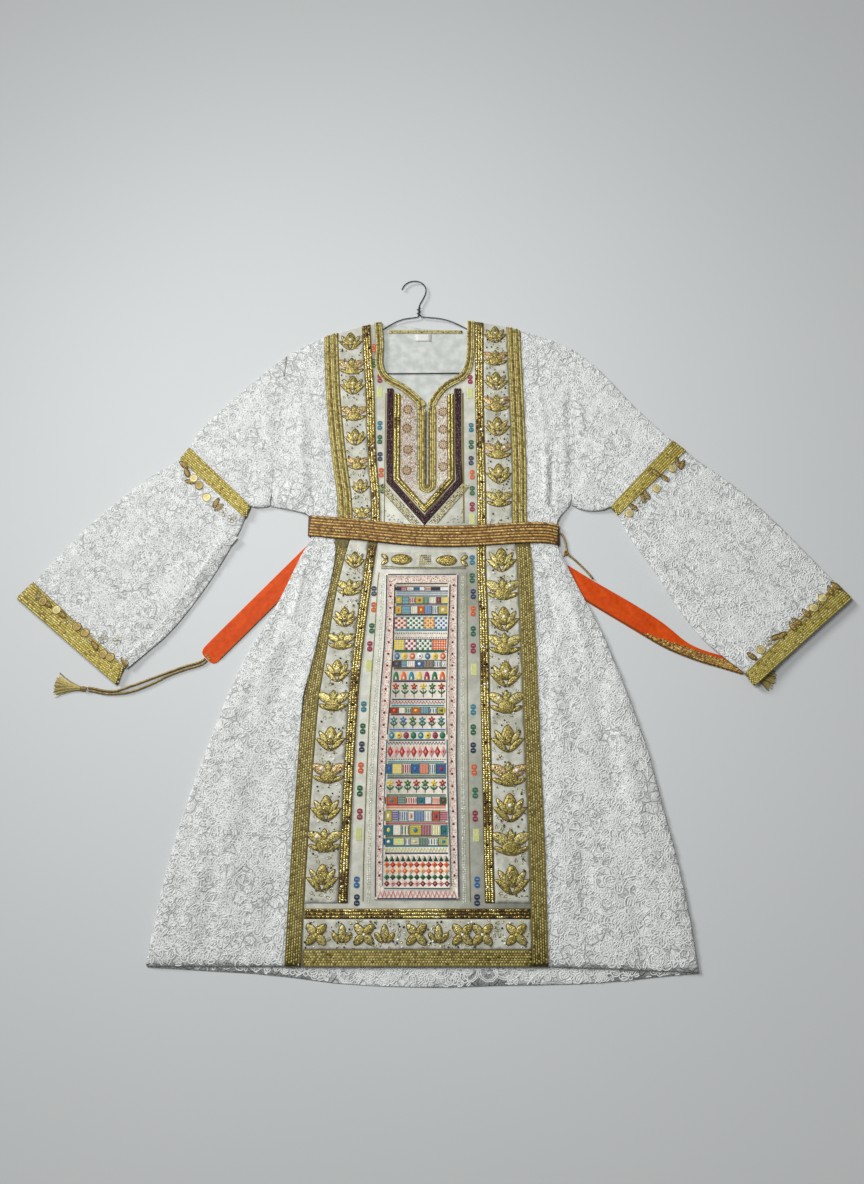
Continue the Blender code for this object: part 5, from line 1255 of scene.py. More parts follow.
# Bound edges close the neck and its slit: pale gold cords lie side by side over an olive ground, four
# on each side of the slit, with a darker chain between the outer two of the neck.
def four_lanes(reach, spacing, *tones):
    """Lanes for four cords side by side, two on each side of a band's middle."""
    return [(away, *tone) for away, tone in zip((-reach, -spacing, spacing, reach), tones)]


neck_lanes = four_lanes(4.9, 1.7, PALE_CORD, DARK_CHAIN, PALE_CORD, PALE_CORD)
for node, path, side, seed in (("neck_binding_left", neck_left, -1, 81),
                               ("neck_binding_right", neck_right, 1, 82)):
    work = Needlework(ground(node, olive_ground))
    corded(work, beside(smooth_path(path, 70), side * 6.5), neck_lanes, 3.0, 2.5, seed)
    work.made(node + "_cords", gold_thread, "gold_braid")
work = Needlework(ground("neck_binding_back", olive_ground))
low, high = box_mm("neck_binding_back")
corded(work, [(x, (low[1] + high[1]) / 2) for x in (low[0], high[0])],
       ((-1.3, *PALE_CORD), (1.3, *PALE_CORD)),
       2.8, 2.2, 83, 0.6)
work.made("neck_binding_back_cords", gold_thread, "gold_braid")
work = Needlework(ground("slit_braid", olive_ground))
reach = 1.5 + SLIT_BRAID / 2
bend = np.linspace(math.pi, 2 * math.pi, 15)
slit_path = np.concatenate([[(SLIT_X - reach, SLIT_TOP)],
                            np.column_stack([SLIT_X + reach * np.cos(bend), SLIT_LOW + reach * np.sin(bend)]),
                            [(SLIT_X + reach, SLIT_TOP)]])
corded(work, along(slit_path, 2.0)[0], four_lanes(5.2, 1.8, PALE_CORD, PALE_CORD, PALE_CORD, DARK_CHAIN), 3.0,
       2.7, 84)
join_top = surface_of(*(cloths[n] for n in ("front_panel", "slit_braid", "neck_binding_left",
                                            "neck_binding_right")))
for name, side, foot, head in (("left", -1, SLIT_X - reach, -19.5), ("right", 1, SLIT_X + reach, -4.2)):
    join = Needlework(join_top)
    corded(join, [(head + side * 3.0, 354), (foot + side * 1.0, 345), (foot, 334)],
           four_lanes(5.2, 1.8, PALE_CORD, DARK_CHAIN, PALE_CORD, PALE_CORD), 2.6, 3.2, 85, 1.2)
    join.made("slit_join_" + name, gold_thread, "gold_braid")
work.made("slit_braid_cords", gold_thread, "gold_braid")


# Coloured ovals of satin stitch run down both sides of the middle, each of two lobes, with a pale
# oblong after every sixth. A thin olive cord parts them from the panels between.
CRIMSON, RED, ORANGE, YELLOW = srgb(160, 30, 66), srgb(176, 44, 36), srgb(222, 104, 38), srgb(224, 200, 76)
LIME, GREEN, DARK_GREEN, TEAL = srgb(208, 214, 120), srgb(34, 108, 64), srgb(24, 62, 46), srgb(40, 130, 148)
BLUE, PURPLE, PINK, PEACH = srgb(54, 112, 166), srgb(92, 64, 128), srgb(216, 150, 148), srgb(228, 182, 142)
GREY, CREAM, DARK_RED = srgb(168, 174, 176), srgb(230, 222, 202), srgb(112, 34, 40)
OVALS = {
    "left": ((-102.6, 455.5, ORANGE), (-100.4, 426.5, GREEN), (-94.7, 397.7, CRIMSON), (-94.4, 371.1, LIME),
             (-93.5, 309.2, TEAL), (-93.2, 283.3, GREEN), (-92.8, 252.1, NAVY), (-92.4, 223, ORANGE),
             (-90.3, 194.1, GREEN), (-99.4, 16.2, NAVY), (-99, -10.9, ORANGE), (-101.8, -46, GREEN),
             (-104.5, -75.8, CRIMSON), (-105.7, -106.9, LIME), (-112.6, -173.1, TEAL), (-113.5, -208, GREEN),
             (-114.6, -236.3, NAVY), (-115.6, -268.9, ORANGE), (-116.5, -304.3, GREEN),
             (-115.8, -339.3, CRIMSON),
             (-116.8, -369.3, LIME), (-118.5, -440.2, BLUE), (-117.9, -466, NAVY)),
    "right": ((62.7, 395.8, CRIMSON), (62.5, 369.2, LIME), (63.6, 305.5, TEAL), (63.2, 274.1, GREEN),
              (62.9, 244.8, NAVY), (64.4, 219.4, ORANGE), (64.1, 190.6, GREEN), (63.8, 162, CRIMSON),
              (63.6, 140.8, LIME), (62.8, 69.2, TEAL), (62.5, 38.3, GREEN), (63.9, 11.1, NAVY),
              (63.5, -17.6, ORANGE), (63.2, -51, GREEN), (62.9, -79.1, CRIMSON), (64.1, -113.5, LIME),
              (61.8, -177.9, TEAL), (61.5, -209.6, GREEN), (61.2, -237.9, NAVY), (62.4, -272, ORANGE),
              (63.6, -307.4, GREEN), (63.2, -342.3, CRIMSON), (64.4, -370.8, LIME), (65.1, -440.2, BLUE),
              (64.7, -466, NAVY)),
}
work = Needlework(satin_top)
rng = np.random.default_rng(91)
for side, column in OVALS.items():
    for x, y, tone in column:
        thin = 0.62 if y > 410 else 0.8
        if side == "left":
            x = -105.8 if y > 410 else max(x, float(panel_x(SEQUIN_LEFT, y)) + 13.2)
        if tone is LIME:
            work.block(x - 4.5, y - 9.5, x + 4.5, y + 9.5, tone, srgb(226, 230, 170), 1.1, 0.55)
            continue
        for lobe in (-1, 1):
            for k in range(-3, 4):
                half = 3.7 * math.sqrt(max(0.0, 1 - (k / 3.6) ** 2)) + 0.5
                cx, cy = x + k * 1.55 * thin, y + lobe * 4.4
                shade = np.array(tone) * rng.uniform(0.8, 1.25)
                work.line([(cx, cy - half), (cx, cy), (cx, cy + half)], 1.5 * thin, 0.9,
                          np.minimum(shade, 0.95))
            work.line([(x - 2.2, y + lobe * 4.4), (x + 2.2, y + lobe * 4.4)], 0.9, 1.25, PEARL)
work.made("satin_ovals", thread, "gold_flowers")
for path in (((-91, 50), (-93, 33), (-97.5, -65), (-103, -162), (-106.5, -290), (-108.7, -412),
              (-108.5, -470)),
             ((53.5, 50), (52.5, -162), (53, -320), (54.5, -470)), ((50.2, 372), (50.2, 131))):
    long_line(cords, path, 1.5, 0.9, OLIVE)
cords.made("panel_edge_cords", gold_thread, "gold_braid")
work = Needlework(satin_top)
EDGE_TONES = ((PEARL, srgb(206, 212, 190), srgb(170, 180, 130), srgb(214, 190, 180)), (6, 4, 2, 1.5))
for path, seed in ((((-84.5, 44), (-86.5, -20), (-89.5, -90), (-96, -190), (-99.5, -300), (-100.5, -470)),
                    96),
                   (((46.5, 44), (45, -120), (44.5, -300), (46, -470)), 97)):
    bead_rows(work, along(path, 4.0)[0], 6.0, 2.6, 2.0, *EDGE_TONES, seed, 0.8)
work.made("panel_edge_beads", beads, "gold_flowers")


# The strip under the belt carries two ovals with forked tails, filled with rows of small gold and
# dark beads, and a cluster of gold beads between them.
motifs = Motifs("oval_strip", 93, levels=1)
for x, y, way, tail in ((-55, 70, 1, -82), (21, 68, -1, 49.5)):
    motifs.shape(oval(9.0, 16.5, 0, 0, -way * math.pi / 2, point=0.12), GOLD, x, y, 1.2, glitter=26)
    for row in range(-2, 3):
        reach = 13.0 - 2.4 * abs(row)
        for step in np.arange(-reach, reach, 4.0):
            tone = WINE if (row + int(step)) % 3 == 0 else srgb(196, 150, 80)
            motifs.bead(x + step, y + row * 3.2, 2.2, tone, 2.2)
    for fork in (-1, 1):
        half = oval(3.2, 6.5, 0, 0, way * (math.pi / 2 - fork * 0.6))
        motifs.shape(half, PALE_GOLD, tail, y + fork * 4.6, 0.9, glitter=4)
for x in np.arange(-24, -5, 3.4):
    for y in np.arange(63, 80, 3.4):
        motifs.bead(x, y, 3.0, (GOLD, PALE_GOLD, DEEP_GOLD)[int(x + y) % 3], 1.6)
motifs.padding.line(smooth_path(((-87, 59), (-57, 56.5), (-15, 56), (20, 56), (51, 58)), 40), 1.4, 1.0, OLIVE)
motifs.made()


# The long colour panel is embroidered in bands of satin stitch on cream satin: blocks, checks, arches,
# trees, diamonds and triangles in rows, inside a dark frame and a pink border with dark dots.
panel_satin = mottled("panel_satin", 0.55, 0.0, 0.1, 240, (204, 194, 176), (230, 222, 208), (420, 2.0), 0.35)
OUTER_LEFT = ((46, -78.5), (-16, -78.5), (-80, -81.5), (-145, -86), (-256, -89), (-318, -90.5), (-463, -89.6))
OUTER_RIGHT = ((46, 38.5), (2, 37.5), (-162, 36), (-256, 34), (-318, 35), (-463, 36.8))
INNER_LEFT = ((29.8, -64.9), (-80.7, -67.1), (-161.9, -71.1), (-225.3, -75.1), (-318, -78.0), (-393.1, -79.0),
              (-449, -78.6))
INNER_RIGHT = ((29.8, 26), (-80.7, 21.6), (-161.9, 19.7), (-233.2, 20), (-318, 21.3), (-393.1, 24),
               (-449, 25.3))


DARK_TEAL, FRAME_CHANGE = srgb(40, 92, 110), -222
SIDE_STITCHES, SIDE_TONES = 1300, ((PINK, srgb(238, 214, 206), CREAM, srgb(186, 96, 96), srgb(150, 126, 70)),
                                   (5, 5, 3, 1.3, 0.8))
TOP_STITCHES, TOP_TONES = 260, ((PINK, CREAM, srgb(186, 96, 96), srgb(120, 110, 60)), (4, 4, 2, 1))
work = Needlework(ground("colour_panel", panel_satin, 0, "_satin"), True)
rng = np.random.default_rng(95)


def strewn(ys, xs, tones):
    """Short stitches thrown over the panel's border."""
    spread(work, GRAIN, np.column_stack([xs, ys]), rng.uniform(0, 3.1, len(ys)), 2.4, 1.2, 0.6,
           picked(rng, *tones, len(ys)))


for table, tone, lower, wide in ((OUTER_LEFT, NAVY, NAVY, 1.9), (OUTER_RIGHT, NAVY, NAVY, 1.9),
                                 (INNER_LEFT, WINE, DARK_TEAL, 2.0), (INNER_RIGHT, WINE, DARK_TEAL, 2.0)):
    ys = np.arange(table[0][0] - 1.0, table[-1][0] + 0.5, -3.0)
    line = np.column_stack([edge_x(table, ys), ys])
    change = (ys >= FRAME_CHANGE).sum() if tone is WINE else len(ys)
    for part, shade in ((line[:change], tone), (line[change:], lower)):
        if len(part):
            long_line(work, part, wide, 0.8, shade)
for y, left, right, tone in ((44.0, -78, 38, NAVY), (29.0, -64.5, 25.5, WINE), (-449.0, -78.5, 25, DARK_TEAL),
                             (-463.5, -89, 36.5, NAVY)):
    long_line(work, [(left, y), (right, y)], 1.9, 0.8, tone)
for outer, inner in ((OUTER_LEFT, INNER_LEFT), (OUTER_RIGHT, INNER_RIGHT)):
    ys = rng.uniform(-447, 40, SIDE_STITCHES)
    share = rng.uniform(0.16, 0.84, SIDE_STITCHES)
    strewn(ys, edge_x(outer, ys) + (edge_x(inner, ys) - edge_x(outer, ys)) * share, SIDE_TONES)
    ys = np.arange(26, -446, -19.0)
    xs = (edge_x(outer, ys) + edge_x(inner, ys)) / 2
    spread(work, BEAD, np.column_stack([xs, ys]), 0.0, 4.2, 4.2, 1.2, DARK_RED)
strewn(rng.uniform(31, 42, TOP_STITCHES), rng.uniform(-76, 36, TOP_STITCHES), TOP_TONES)

BANDS = (
    (23, 16.8, "blocks", (NAVY, RED, WHITE, BLUE, WHITE, RED, NAVY, WHITE)),
    (14.5, 8.5, "rules", (BLUE, TEAL)),
    (6, -4.6, "blocks", (YELLOW, TEAL, RED, YELLOW, GREEN, CREAM, RED, YELLOW)), (-6, -6, "line", (NAVY,)),
    (-9.2, -22, "blocks", (YELLOW, TEAL, CREAM, ORANGE, BLUE, TEAL, YELLOW)),
    (-24.3, -24.3, "line", (DARK_GREEN,)),
    (-28, -47, "checks", (RED, CREAM, GREEN, WHITE, ORANGE, YELLOW, BLUE, WHITE)),
    (-49.6, -49.6, "line", (TEAL,)),
    (-54.3, -62, "dots", (BLACK, WHITE)), (-65, -82, "checks",
                                           (YELLOW, YELLOW, CRIMSON, WHITE, GREEN, WHITE, ORANGE, ORANGE)),
    (-84, -84, "line", (GREEN,)), (-86, -98, "discs", (BLUE, YELLOW, ORANGE, WHITE)),
    (-99.4, -110, "blocks", (BROWN, TEAL, WHITE, BLUE, BROWN, TEAL, WHITE)),
    (-111.8, -111.8, "line", (BLACK,)),
    (-115, -131, "arches", (GREEN, ORANGE, TEAL, YELLOW, CRIMSON)), (-133, -133, "line", (NAVY,)),
    (-136, -159, "flowers", (RED, GREEN, RED, YELLOW, GREEN)), (-162, -162, "line", (NAVY,)),
    (-164.5, -169, "wave", (CRIMSON,)),
    (-171.5, -171.5, "line", (TEAL,)), (-174.7, -184, "blocks",
                                        (RED, CREAM, GREEN, ORANGE, TEAL, BLUE, YELLOW)),
    (-186, -186, "line", (DARK_RED,)), (-189, -207.5, "flowers", (TEAL, BLUE, GREEN, TEAL, CRIMSON)),
    (-209.6, -209.6, "line", (BLUE,)), (-212.7, -224.5, "discs", (TEAL, YELLOW, CRIMSON, GREEN)),
    (-226, -226, "line", (BLACK,)), (-228.5, -233, "wave", (NAVY,)), (-235, -253, "diamonds", (RED, PINK)),
    (-254.5, -257, "dots", (NAVY, WHITE)), (-259.7, -259.7, "line", (TEAL,)),
    (-262.8, -278, "blocks", (BLUE, YELLOW, CRIMSON, BLUE, ORANGE, TEAL, BLUE)),
    (-281.3, -281.3, "line", (GREEN,)),
    (-284.4, -284.4, "line", (NAVY,)), (-287.4, -307.4, "flowers", (YELLOW, CRIMSON, GREEN, RED, GREEN)),
    (-310.4, -310.4, "line", (GREEN,)), (-313.5, -324, "blocks",
                                         (ORANGE, GREEN, RED, TEAL, WHITE, ORANGE, GREEN)),
    (-325.6, -325.6, "line", (RED,)), (-327.5, -331, "rules", (PEACH, ORANGE)),
    (-334.7, -349.8, "blocks", (YELLOW, PURPLE, BLUE, WHITE, BLUE, GREY, ORANGE, CRIMSON)),
    (-352.8, -352.8, "line", (CRIMSON,)),
    (-355.8, -370.8, "blocks", (TEAL, CREAM, GREEN, YELLOW, CRIMSON, LIME, TEAL)),
    (-372.3, -372.3, "line", (GREEN,)),
    (-375.3, -385.5, "blocks", (TEAL, LIME, TEAL, CREAM, GREEN, TEAL, LIME)),
    (-387.2, -387.2, "line", (TEAL,)),
    (-389.5, -395.5, "wave", (LIME,)), (-397.6, -397.6, "line", (NAVY,)),
    (-401, -409.6, "triangles", (DARK_GREEN, CREAM)),
    (-409.8, -418.8, "diamonds", (ORANGE, RED)), (-419, -428, "diamonds", (PEACH, ORANGE)),
    (-428.2, -437, "diamonds", (GREEN, DARK_GREEN)), (-437.6, -446.5, "diamonds", (DARK_RED, PINK)),
)
FIGURE_WIDTHS = {"arches": 11.5, "flowers": 13.0, "discs": 11.0, "diamonds": 9.0, "triangles": 8.0}
FIFTHS = [petal * 2 * math.pi / 5 for petal in range(5)]
for top, low, kind, tones in BANDS:
    middle = (top + low) / 2
    x0, x1 = edge_x(INNER_LEFT, middle) + 1.4, edge_x(INNER_RIGHT, middle) - 1.4
    high = top - low
    if kind in ("blocks", "checks", "discs", "arches"):
        for y in (top + 0.5, low - 0.5):
            long_line(work, [(x0, y), (x1, y)], 1.2, 0.7, (TEAL, NAVY, GREEN, BROWN)[int(abs(top)) % 4])
    if kind == "line":
        long_line(work, [(x0, top), (x1, top)], 2.3, 0.8, tones[0])
    elif kind == "rules":
        for k, y in enumerate(np.linspace(top, low, 3)):
            long_line(work, [(x0, y), (x1, y)], 1.3, 0.6, tones[k % 2])
    elif kind in ("blocks", "checks"):
        shares = rng.uniform(0.7, 1.4, len(tones) if kind == "blocks" else len(tones) // 2)
        stops = x0 + (x1 - x0) * np.concatenate([[0], np.cumsum(shares) / shares.sum()])
        for k in range(len(stops) - 1):
            left, right = stops[k] + 0.5, stops[k + 1] - 0.5
            work.line([(stops[k], low), (stops[k], middle), (stops[k], top)], 1.1, 0.8, srgb(50, 66, 84))
            if kind == "blocks":
                if k % 3 == 2:
                    for x in np.linspace(left + 1.6, right - 1.6, max(2, round((right - left) / 3.6))):
                        work.line([(x, low + 1.4), (x, middle), (x, top - 1.4)], 1.7, 0.9, tones[k])
                    continue
                second = np.minimum(np.array(tones[k]) * 0.6 + 0.35 * (k % 3 == 1), 0.9)
                work.block(left, low + 0.4, right, top - 0.4, tones[k], second, 1.25, 0.6, k % 2 == 0)
                if high > 9 and k % 3 == 0:
                    work.leaf(oval((right - left) * 0.22, high * 0.26, (left + right) / 2, middle, count=8),
                              1.1,
                              tones[(k + 3) % len(tones)])
            else:
                rows, columns = max(2, round(high / 4.2)), max(2, round((right - left) / 4.2))
                wide, tall = (right - left) / columns, high / rows
                for i in range(rows):
                    for j in range(columns):
                        spread(work, GRAIN, [(left + (j + 0.5) * wide, low + (i + 0.5) * tall)], 0.0,
                               wide * 1.05,
                               tall * 0.95, 0.7, tones[2 * k + (i + j) % 2])
    elif kind == "dots":
        for k, y in enumerate((top, low) if high > 4 else (middle,)):
            spots = [(x + 1.8 * k, y) for x in np.arange(x0 + 1.5, x1, 3.6)]
            spread(work, GRAIN, spots, 0.0, 2.4, 1.7, 0.8, tones[0])
    elif kind == "wave":
        xs = np.arange(x0, x1, 2.4)
        for i in range(0, len(xs) - 2, 2):
            work.line([(xs[i], top), (xs[i + 1], low), (xs[i + 2], top)], 1.2, 0.7, tones[0])
    else:
        count = int((x1 - x0) / FIGURE_WIDTHS[kind])
        for k in range(count):
            x, tone = x0 + (k + 0.5) * (x1 - x0) / count, tones[k % len(tones)]
            if kind == "arches":
                for wide, tall, foot, count_round, rise, shade in ((4.8, 0.86, 0.6, 14, 0.9, tone),
                                                                   (2.1, 0.42, 0.8, 9, 1.25, CREAM)):
                    arch = oval(wide, high * tall, x, low + foot, count=count_round)
                    arch[:, 1] = np.maximum(arch[:, 1], low + foot)
                    work.leaf(arch, rise, shade)
            elif kind == "flowers":
                work.line([(x, low + 0.5), (x, middle), (x, top - 4)], 1.3, 0.8, DARK_GREEN)
                for side in (-1, 1):
                    work.leaf(oval(1.5, 4.2, x + side * 3.0, middle - 2.5, -side * 0.8, 8), 0.8, GREEN)
                for angle in FIFTHS:
                    work.leaf(oval(1.6, 2.9, x - math.sin(angle) * 3.0, top - 5.0 + math.cos(angle) * 3.0,
                                   angle, 7),
                              1.0, tone)
                work.dot(x, top - 5.0, 1.3, 1.4, YELLOW, 6)
            elif kind == "discs":
                work.leaf(oval(4.6, high * 0.46, x, middle), 0.9, tone)
                work.leaf(oval(2.2, high * 0.2, x, middle, count=8), 1.3, tones[(k + 1) % len(tones)])
            elif kind == "diamonds":
                shape = np.array([(0, 0.52 * high), (-4.7, 0), (0, -0.52 * high), (4.7, 0)]) + (x, middle)
                work.leaf(shape, 0.9, tone)
                work.leaf((shape - (x, middle)) * 0.45 + (x, middle), 1.2, tones[(k + 1) % 2])
            else:
                work.leaf(np.array([(x - 3.8, low), (x + 3.8, low), (x, top)]), 0.9, tones[0])
                work.leaf(np.array([(x + 0.6, top), (x + 4.0, low + 1.2), (x + 7.2, top)]), 0.7, tones[1])
for k, x in enumerate(np.arange(-86, 32, 6.6)):
    work.line([(x, -462), (x + 3.3, -452.5), (x + 6.6, -462)], 1.5, 0.8,
              srgb(206, 96, 110) if k % 2 else srgb(226, 150, 150))
work.made("colour_panel_stitches", thread, "gold_flowers")


# The belt is seven rows of brown-gold twisted cord couched side by side, taken right round the waist.
# Each row is sewn down with slanted stitches that lean the other way from its neighbour's.
belt_ground = mottled("belt_ground", 0.6, 0.25, 0.0, 320, (72, 46, 24), (110, 76, 38), (600, 2.0), 0.5)
BELT_LINE = ((-206, 128.5), (-175, 125), (-124, 121), (-91, 117), (-24, 110.5), (43, 109.5), (93, 112),
             (144, 115.5),
             (186, 116), (205, 112.5))
BELT_WIDTH, BELT_ROWS = 36.0, 7
rng = np.random.default_rng(101)
work = Needlework(ground("belt", belt_ground))
belt_path = smooth_path(BELT_LINE, 120)
belt_tones = (srgb(206, 168, 92), srgb(182, 140, 66), srgb(226, 198, 126), srgb(140, 98, 46))
for row in range(BELT_ROWS):
    away = (row + 0.5) * BELT_WIDTH / BELT_ROWS - BELT_WIDTH / 2
    spots, turns, _ = along(beside(belt_path, away), 2.5)
    n = len(spots)
    spread(work, GRAIN, spots, turns + (0.5 if row % 2 else -0.5), 5.2, 2.7, rng.uniform(1.3, 1.7, n),
           picked(rng, belt_tones, (5, 5, 2, 2), n), -0.2)
work.made("belt_cord_rows", gold_thread, "belt_cord")


# The belt's two ends are lined with orange satin that shows beside the skirt, edged with a dark gold
# cord. The right one twists near its end and shows its cords there.
orange_satin, shader, place = new_material("orange_satin", 0.6)
shader.inputs["Specular IOR Level"].default_value = 0.2
weave = place.noise(160, 3.0)
across, upward = place.axis(0), place.axis(1)
corded_end = (-0.0614 - (across - 0.3668) * 0.346 - upward).soft(0.0, 0.002) * across.soft(0.33, 0.35)
satin_tone = (weave * 0.7 + place.noise(22, 2.0) * 0.5).soft(0.3, 0.85).tint(srgb(192, 60, 0),
                                                                             srgb(216, 80, 4))
cord_tone = across.wave(900).soft(-0.4, 0.6).tint(srgb(84, 52, 20), srgb(186, 140, 66))
feed(shader, Base_Color=corded_end.tint(satin_tone, cord_tone))
bumped(shader, weave, 0.35)


def between(ends_of, share):
    """A spot on the straight line between two points that are given as one row."""
    a, b, c, d = ends_of
    return a + (c - a) * share, b + (d - b) * share


LEFT_END_FOLDS = ((-212, 74, -262, 30, 4, 0.9), (-262, 26, -300, -8, 4, 0.7),
                  (-205, 70, -240, 28, 3, -0.6),
                  (-300, -30, -350, -76, 6, 0.7), (-278, -14, -284, -2, 2.0, -0.5),
                  (-330, -52, -352, -80, 3, -0.5))
RIGHT_END_FOLDS = ((234, 47, 262, 4, 4, 1.0), (250, 40, 290, 2, 4, -0.9),
                   (276, 16, 302, -14, 5, 1.0),
                   (300, 8, 330, -30, 4, -0.8), (316, -6, 352, -40, 6, 0.9),
                   (350, -30, 376, -62, 3.5, -0.8),
                   (362, -30, 398, -66, 4, 0.9))
ends, ends_right = (
    Needlework(surface_of(cloth_from(node, node + "_satin", orange_satin, folds, seed=seed, depth=0.12,
                                     floor_z=-0.2)), True)
    for node, folds, seed in (("belt_end_left", LEFT_END_FOLDS, 103),
                              ("belt_end_right", RIGHT_END_FOLDS, 104)))
lower_edge = np.array([(-191.5, 92.5), (-250, 30.4), (-310, -33.4), (-361, -87.5)], float) + (11.7, -11.0)
dark_edge = srgb(110, 74, 26)
long_line(ends, along(lower_edge, 3.0)[0], 2.0, 1.2, dark_edge)
spread(ends, BEAD, [(-366, -93), (-369, -90), (-364, -96)], 0.0, 4.5, 4.0, 2.2, GOLD)
RIGHT_TAIL = ((195, 79, 177, 49), (235, 53, 216, 22), (274, 28, 254, -3), (306, 9, 287, -24),
              (354, -21, 332, -52),
              (388, -47, 366, -74), (410, -70, 396, -88), (440, -83, 433, -102), (463, -89, 458, -109),
              (486, -97, 480, -116), (502, -103, 496, -121))
long_line(ends_right, smooth_path([(c + 1.2, d + 1.6) for a, b, c, d in RIGHT_TAIL], 90), 2.4, 1.2, dark_edge)
for share in (0.15, 0.32, 0.49, 0.66, 0.83):
    spots, turns, _ = along([between(ends_of, share) for ends_of in RIGHT_TAIL[4:]], 2.4)
    turned_over = spots[:, 1] < -61.4 - 0.346 * (spots[:, 0] - 366.8)
    spots, turns = spots[turned_over], turns[turned_over]
    spread(ends_right, GRAIN, spots, turns + 0.6, 4.8, 3.4, 1.5,
           picked(rng, belt_tones, (4, 5, 1, 4), len(spots)))
ends.made("belt_end_left_edge", gold_thread, "belt_cord")
ends_right.made("belt_end_right_edge", gold_thread, "belt_cord")


# Gold braid bands close the elbows and the cuffs. Gold discs and small flowers of brown and gold lace
# are sewn along their edges, on the white lace.
BANDS_AT = {
    "elbow_band_left": ((-418, 268, -433, 247), (-310, 164, -318, 143)),
    "elbow_band_right": ((408, 281, 430, 262), (297.5, 163, 310, 148)),
    "cuff_band_left": ((-660, 31, -684.5, 4), (-500, -108, -510, -138)),
    "cuff_band_right": ((662, 30, 684.5, 3.5), (499, -119, 513, -139)),
}
BAND_TONES = ((srgb(206, 190, 96), srgb(184, 166, 74), srgb(222, 210, 136), srgb(142, 120, 50)),
              (5, 5, 2, 1.2))
band_ground = mottled("band_ground", 0.6, 0.25, 0.0, 260, (92, 76, 30), (140, 122, 56), (700, 2.0), 0.4)
for seed, (node, edges_of) in enumerate(BANDS_AT.items()):
    work = Needlework(ground(node, band_ground))
    rng = np.random.default_rng(110 + seed)
    lanes = 7 if "elbow" in node else 9
    ax, ay, bx, by = edges_of[0]
    pace = math.hypot(bx - ax, by - ay) / lanes
    for k in range(lanes):
        spots, turns, _ = along([between(edge, (k + 0.5) / lanes) for edge in edges_of], 3.6)
        n = len(spots)
        shift = np.stack([np.cos(turns), np.sin(turns)], axis=1) * (1.8 if k % 2 else 0.0)
        spread(work, GRAIN, spots + shift, turns + (0.45 if k % 2 else -0.45), 3.9, pace * 0.8,
               rng.uniform(0.6, 0.9, n), picked(rng, *BAND_TONES, n))
    for share in (0.03, 0.97):
        long_line(work, [between(edge, share) for edge in edges_of], 1.8, 1.0, srgb(164, 142, 66))
    work.made(node + "_chain", gold_thread, "bands")

DISCS = ((-616, -16, 1), (-580.6, -44, 0), (-566.6, -54, 0), (-534, -89, 0), (-522.5, -94, 0), (-640, -2, 0),
         (-407, 212, 1), (-383, 178, 1), (-397, 199, 0), (404, 230, 1), (375, 194, 1), (326.5, 150, 1),
         (619, -12.5, 1), (527, -82, 1), (635, 4, 1))
LEAVES = ((-425, 236, 0.9), (-419, 222, 0.4), (-412, 206, 1.4), (-367, 168, -0.5), (-362, 160, -0.9),
          (-499, -102, 0.6),
          (-632, -6, 0.9), (-606, -24, 0.8), (-548, -76, 0.6), (421, 236, -0.4), (414, 240, 0.3),
          (376, 221, 0.8),
          (358.5, 182, 0.5), (352, 176, 0.2), (391, 212, 0.9), (335, 160, 0.9), (583, -44, 0.5),
          (590, -36, 0.9),
          (554, -61, -1.2), (563, -58, -1.0), (607, -22, 0.6), (650, 16, 0.3), (660, 24, 0.8),
          (512, -93, 0.9))
LOOPS = ((-557.6, -62), (-536.7, -64), (-513.5, -66), (-354.5, 152), (-340, 141), (344, 168), (599, -28),
         (539, -74),
         (-648, 6), (-592, -32), (628, -6), (546, -66))
tops = surface_of(*(cloths[node] for node in (*list(FOLDS)[2:], *BANDS_AT)))
gold_discs, loops = Needlework(tops, True), Needlework(tops, True)
rng = np.random.default_rng(121)
for x, y, bright in DISCS:
    rim, face = (srgb(160, 140, 70), srgb(236, 222, 160)) if bright else (srgb(112, 88, 42),
                                                                          srgb(188, 164, 96))
    gold_discs.leaf(oval(7.0, 7.0, x, y, count=18), 1.6, face, inner=0.9, edge=0.85)
    gold_discs.line(oval(6.9, 6.9, x, y, count=18), 1.4, 2.2, rim, closed=True)
    gold_discs.line(oval(3.4, 3.4, x, y, count=12), 1.0, 2.2, rim, closed=True)
    for k in range(4):
        spread(gold_discs, BEAD, [(x + 1.5 * math.cos(k * 1.57), y + 1.5 * math.sin(k * 1.57))], 0.0, 1.1,
               1.1, 0.5,
               srgb(90, 70, 34), 1.6)
for x, y, angle in LEAVES:
    loops.leaf(oval(4.2, 8.4, x, y, angle, 12, 0.2), 1.3, srgb(150, 126, 66))
    loops.line(oval(4.4, 8.6, x, y, angle, 12, 0.2), 1.3, 1.6, srgb(96, 74, 36), closed=True)
    for k in (-1, 0, 1):
        a, b = turned([(0, k * 4.0 - 1.5), (0, k * 4.0 + 1.5)], angle, x, y)
        spread(loops, SEQUIN, [(a + b) / 2], 0.0, 3.0, 3.0, 0.9, srgb(196, 164, 86), 1.0)
for x, y in LOOPS:
    start = rng.uniform(0, 2)
    for petal, angle in enumerate(FIFTHS):
        loops.line(petal_loop(7.8, 2.6, start + angle, 0.2, 6) + (x, y), 1.3, 1.2,
                   srgb(120, 112, 96) if petal % 2 else srgb(168, 158, 128))
    loops.dot(x, y, 2.1, 1.5, srgb(186, 166, 110), 7)
gold_discs.made("sleeve_discs", gold_thread, "bands")
loops.made("sleeve_flowers", gold_thread, "bands")


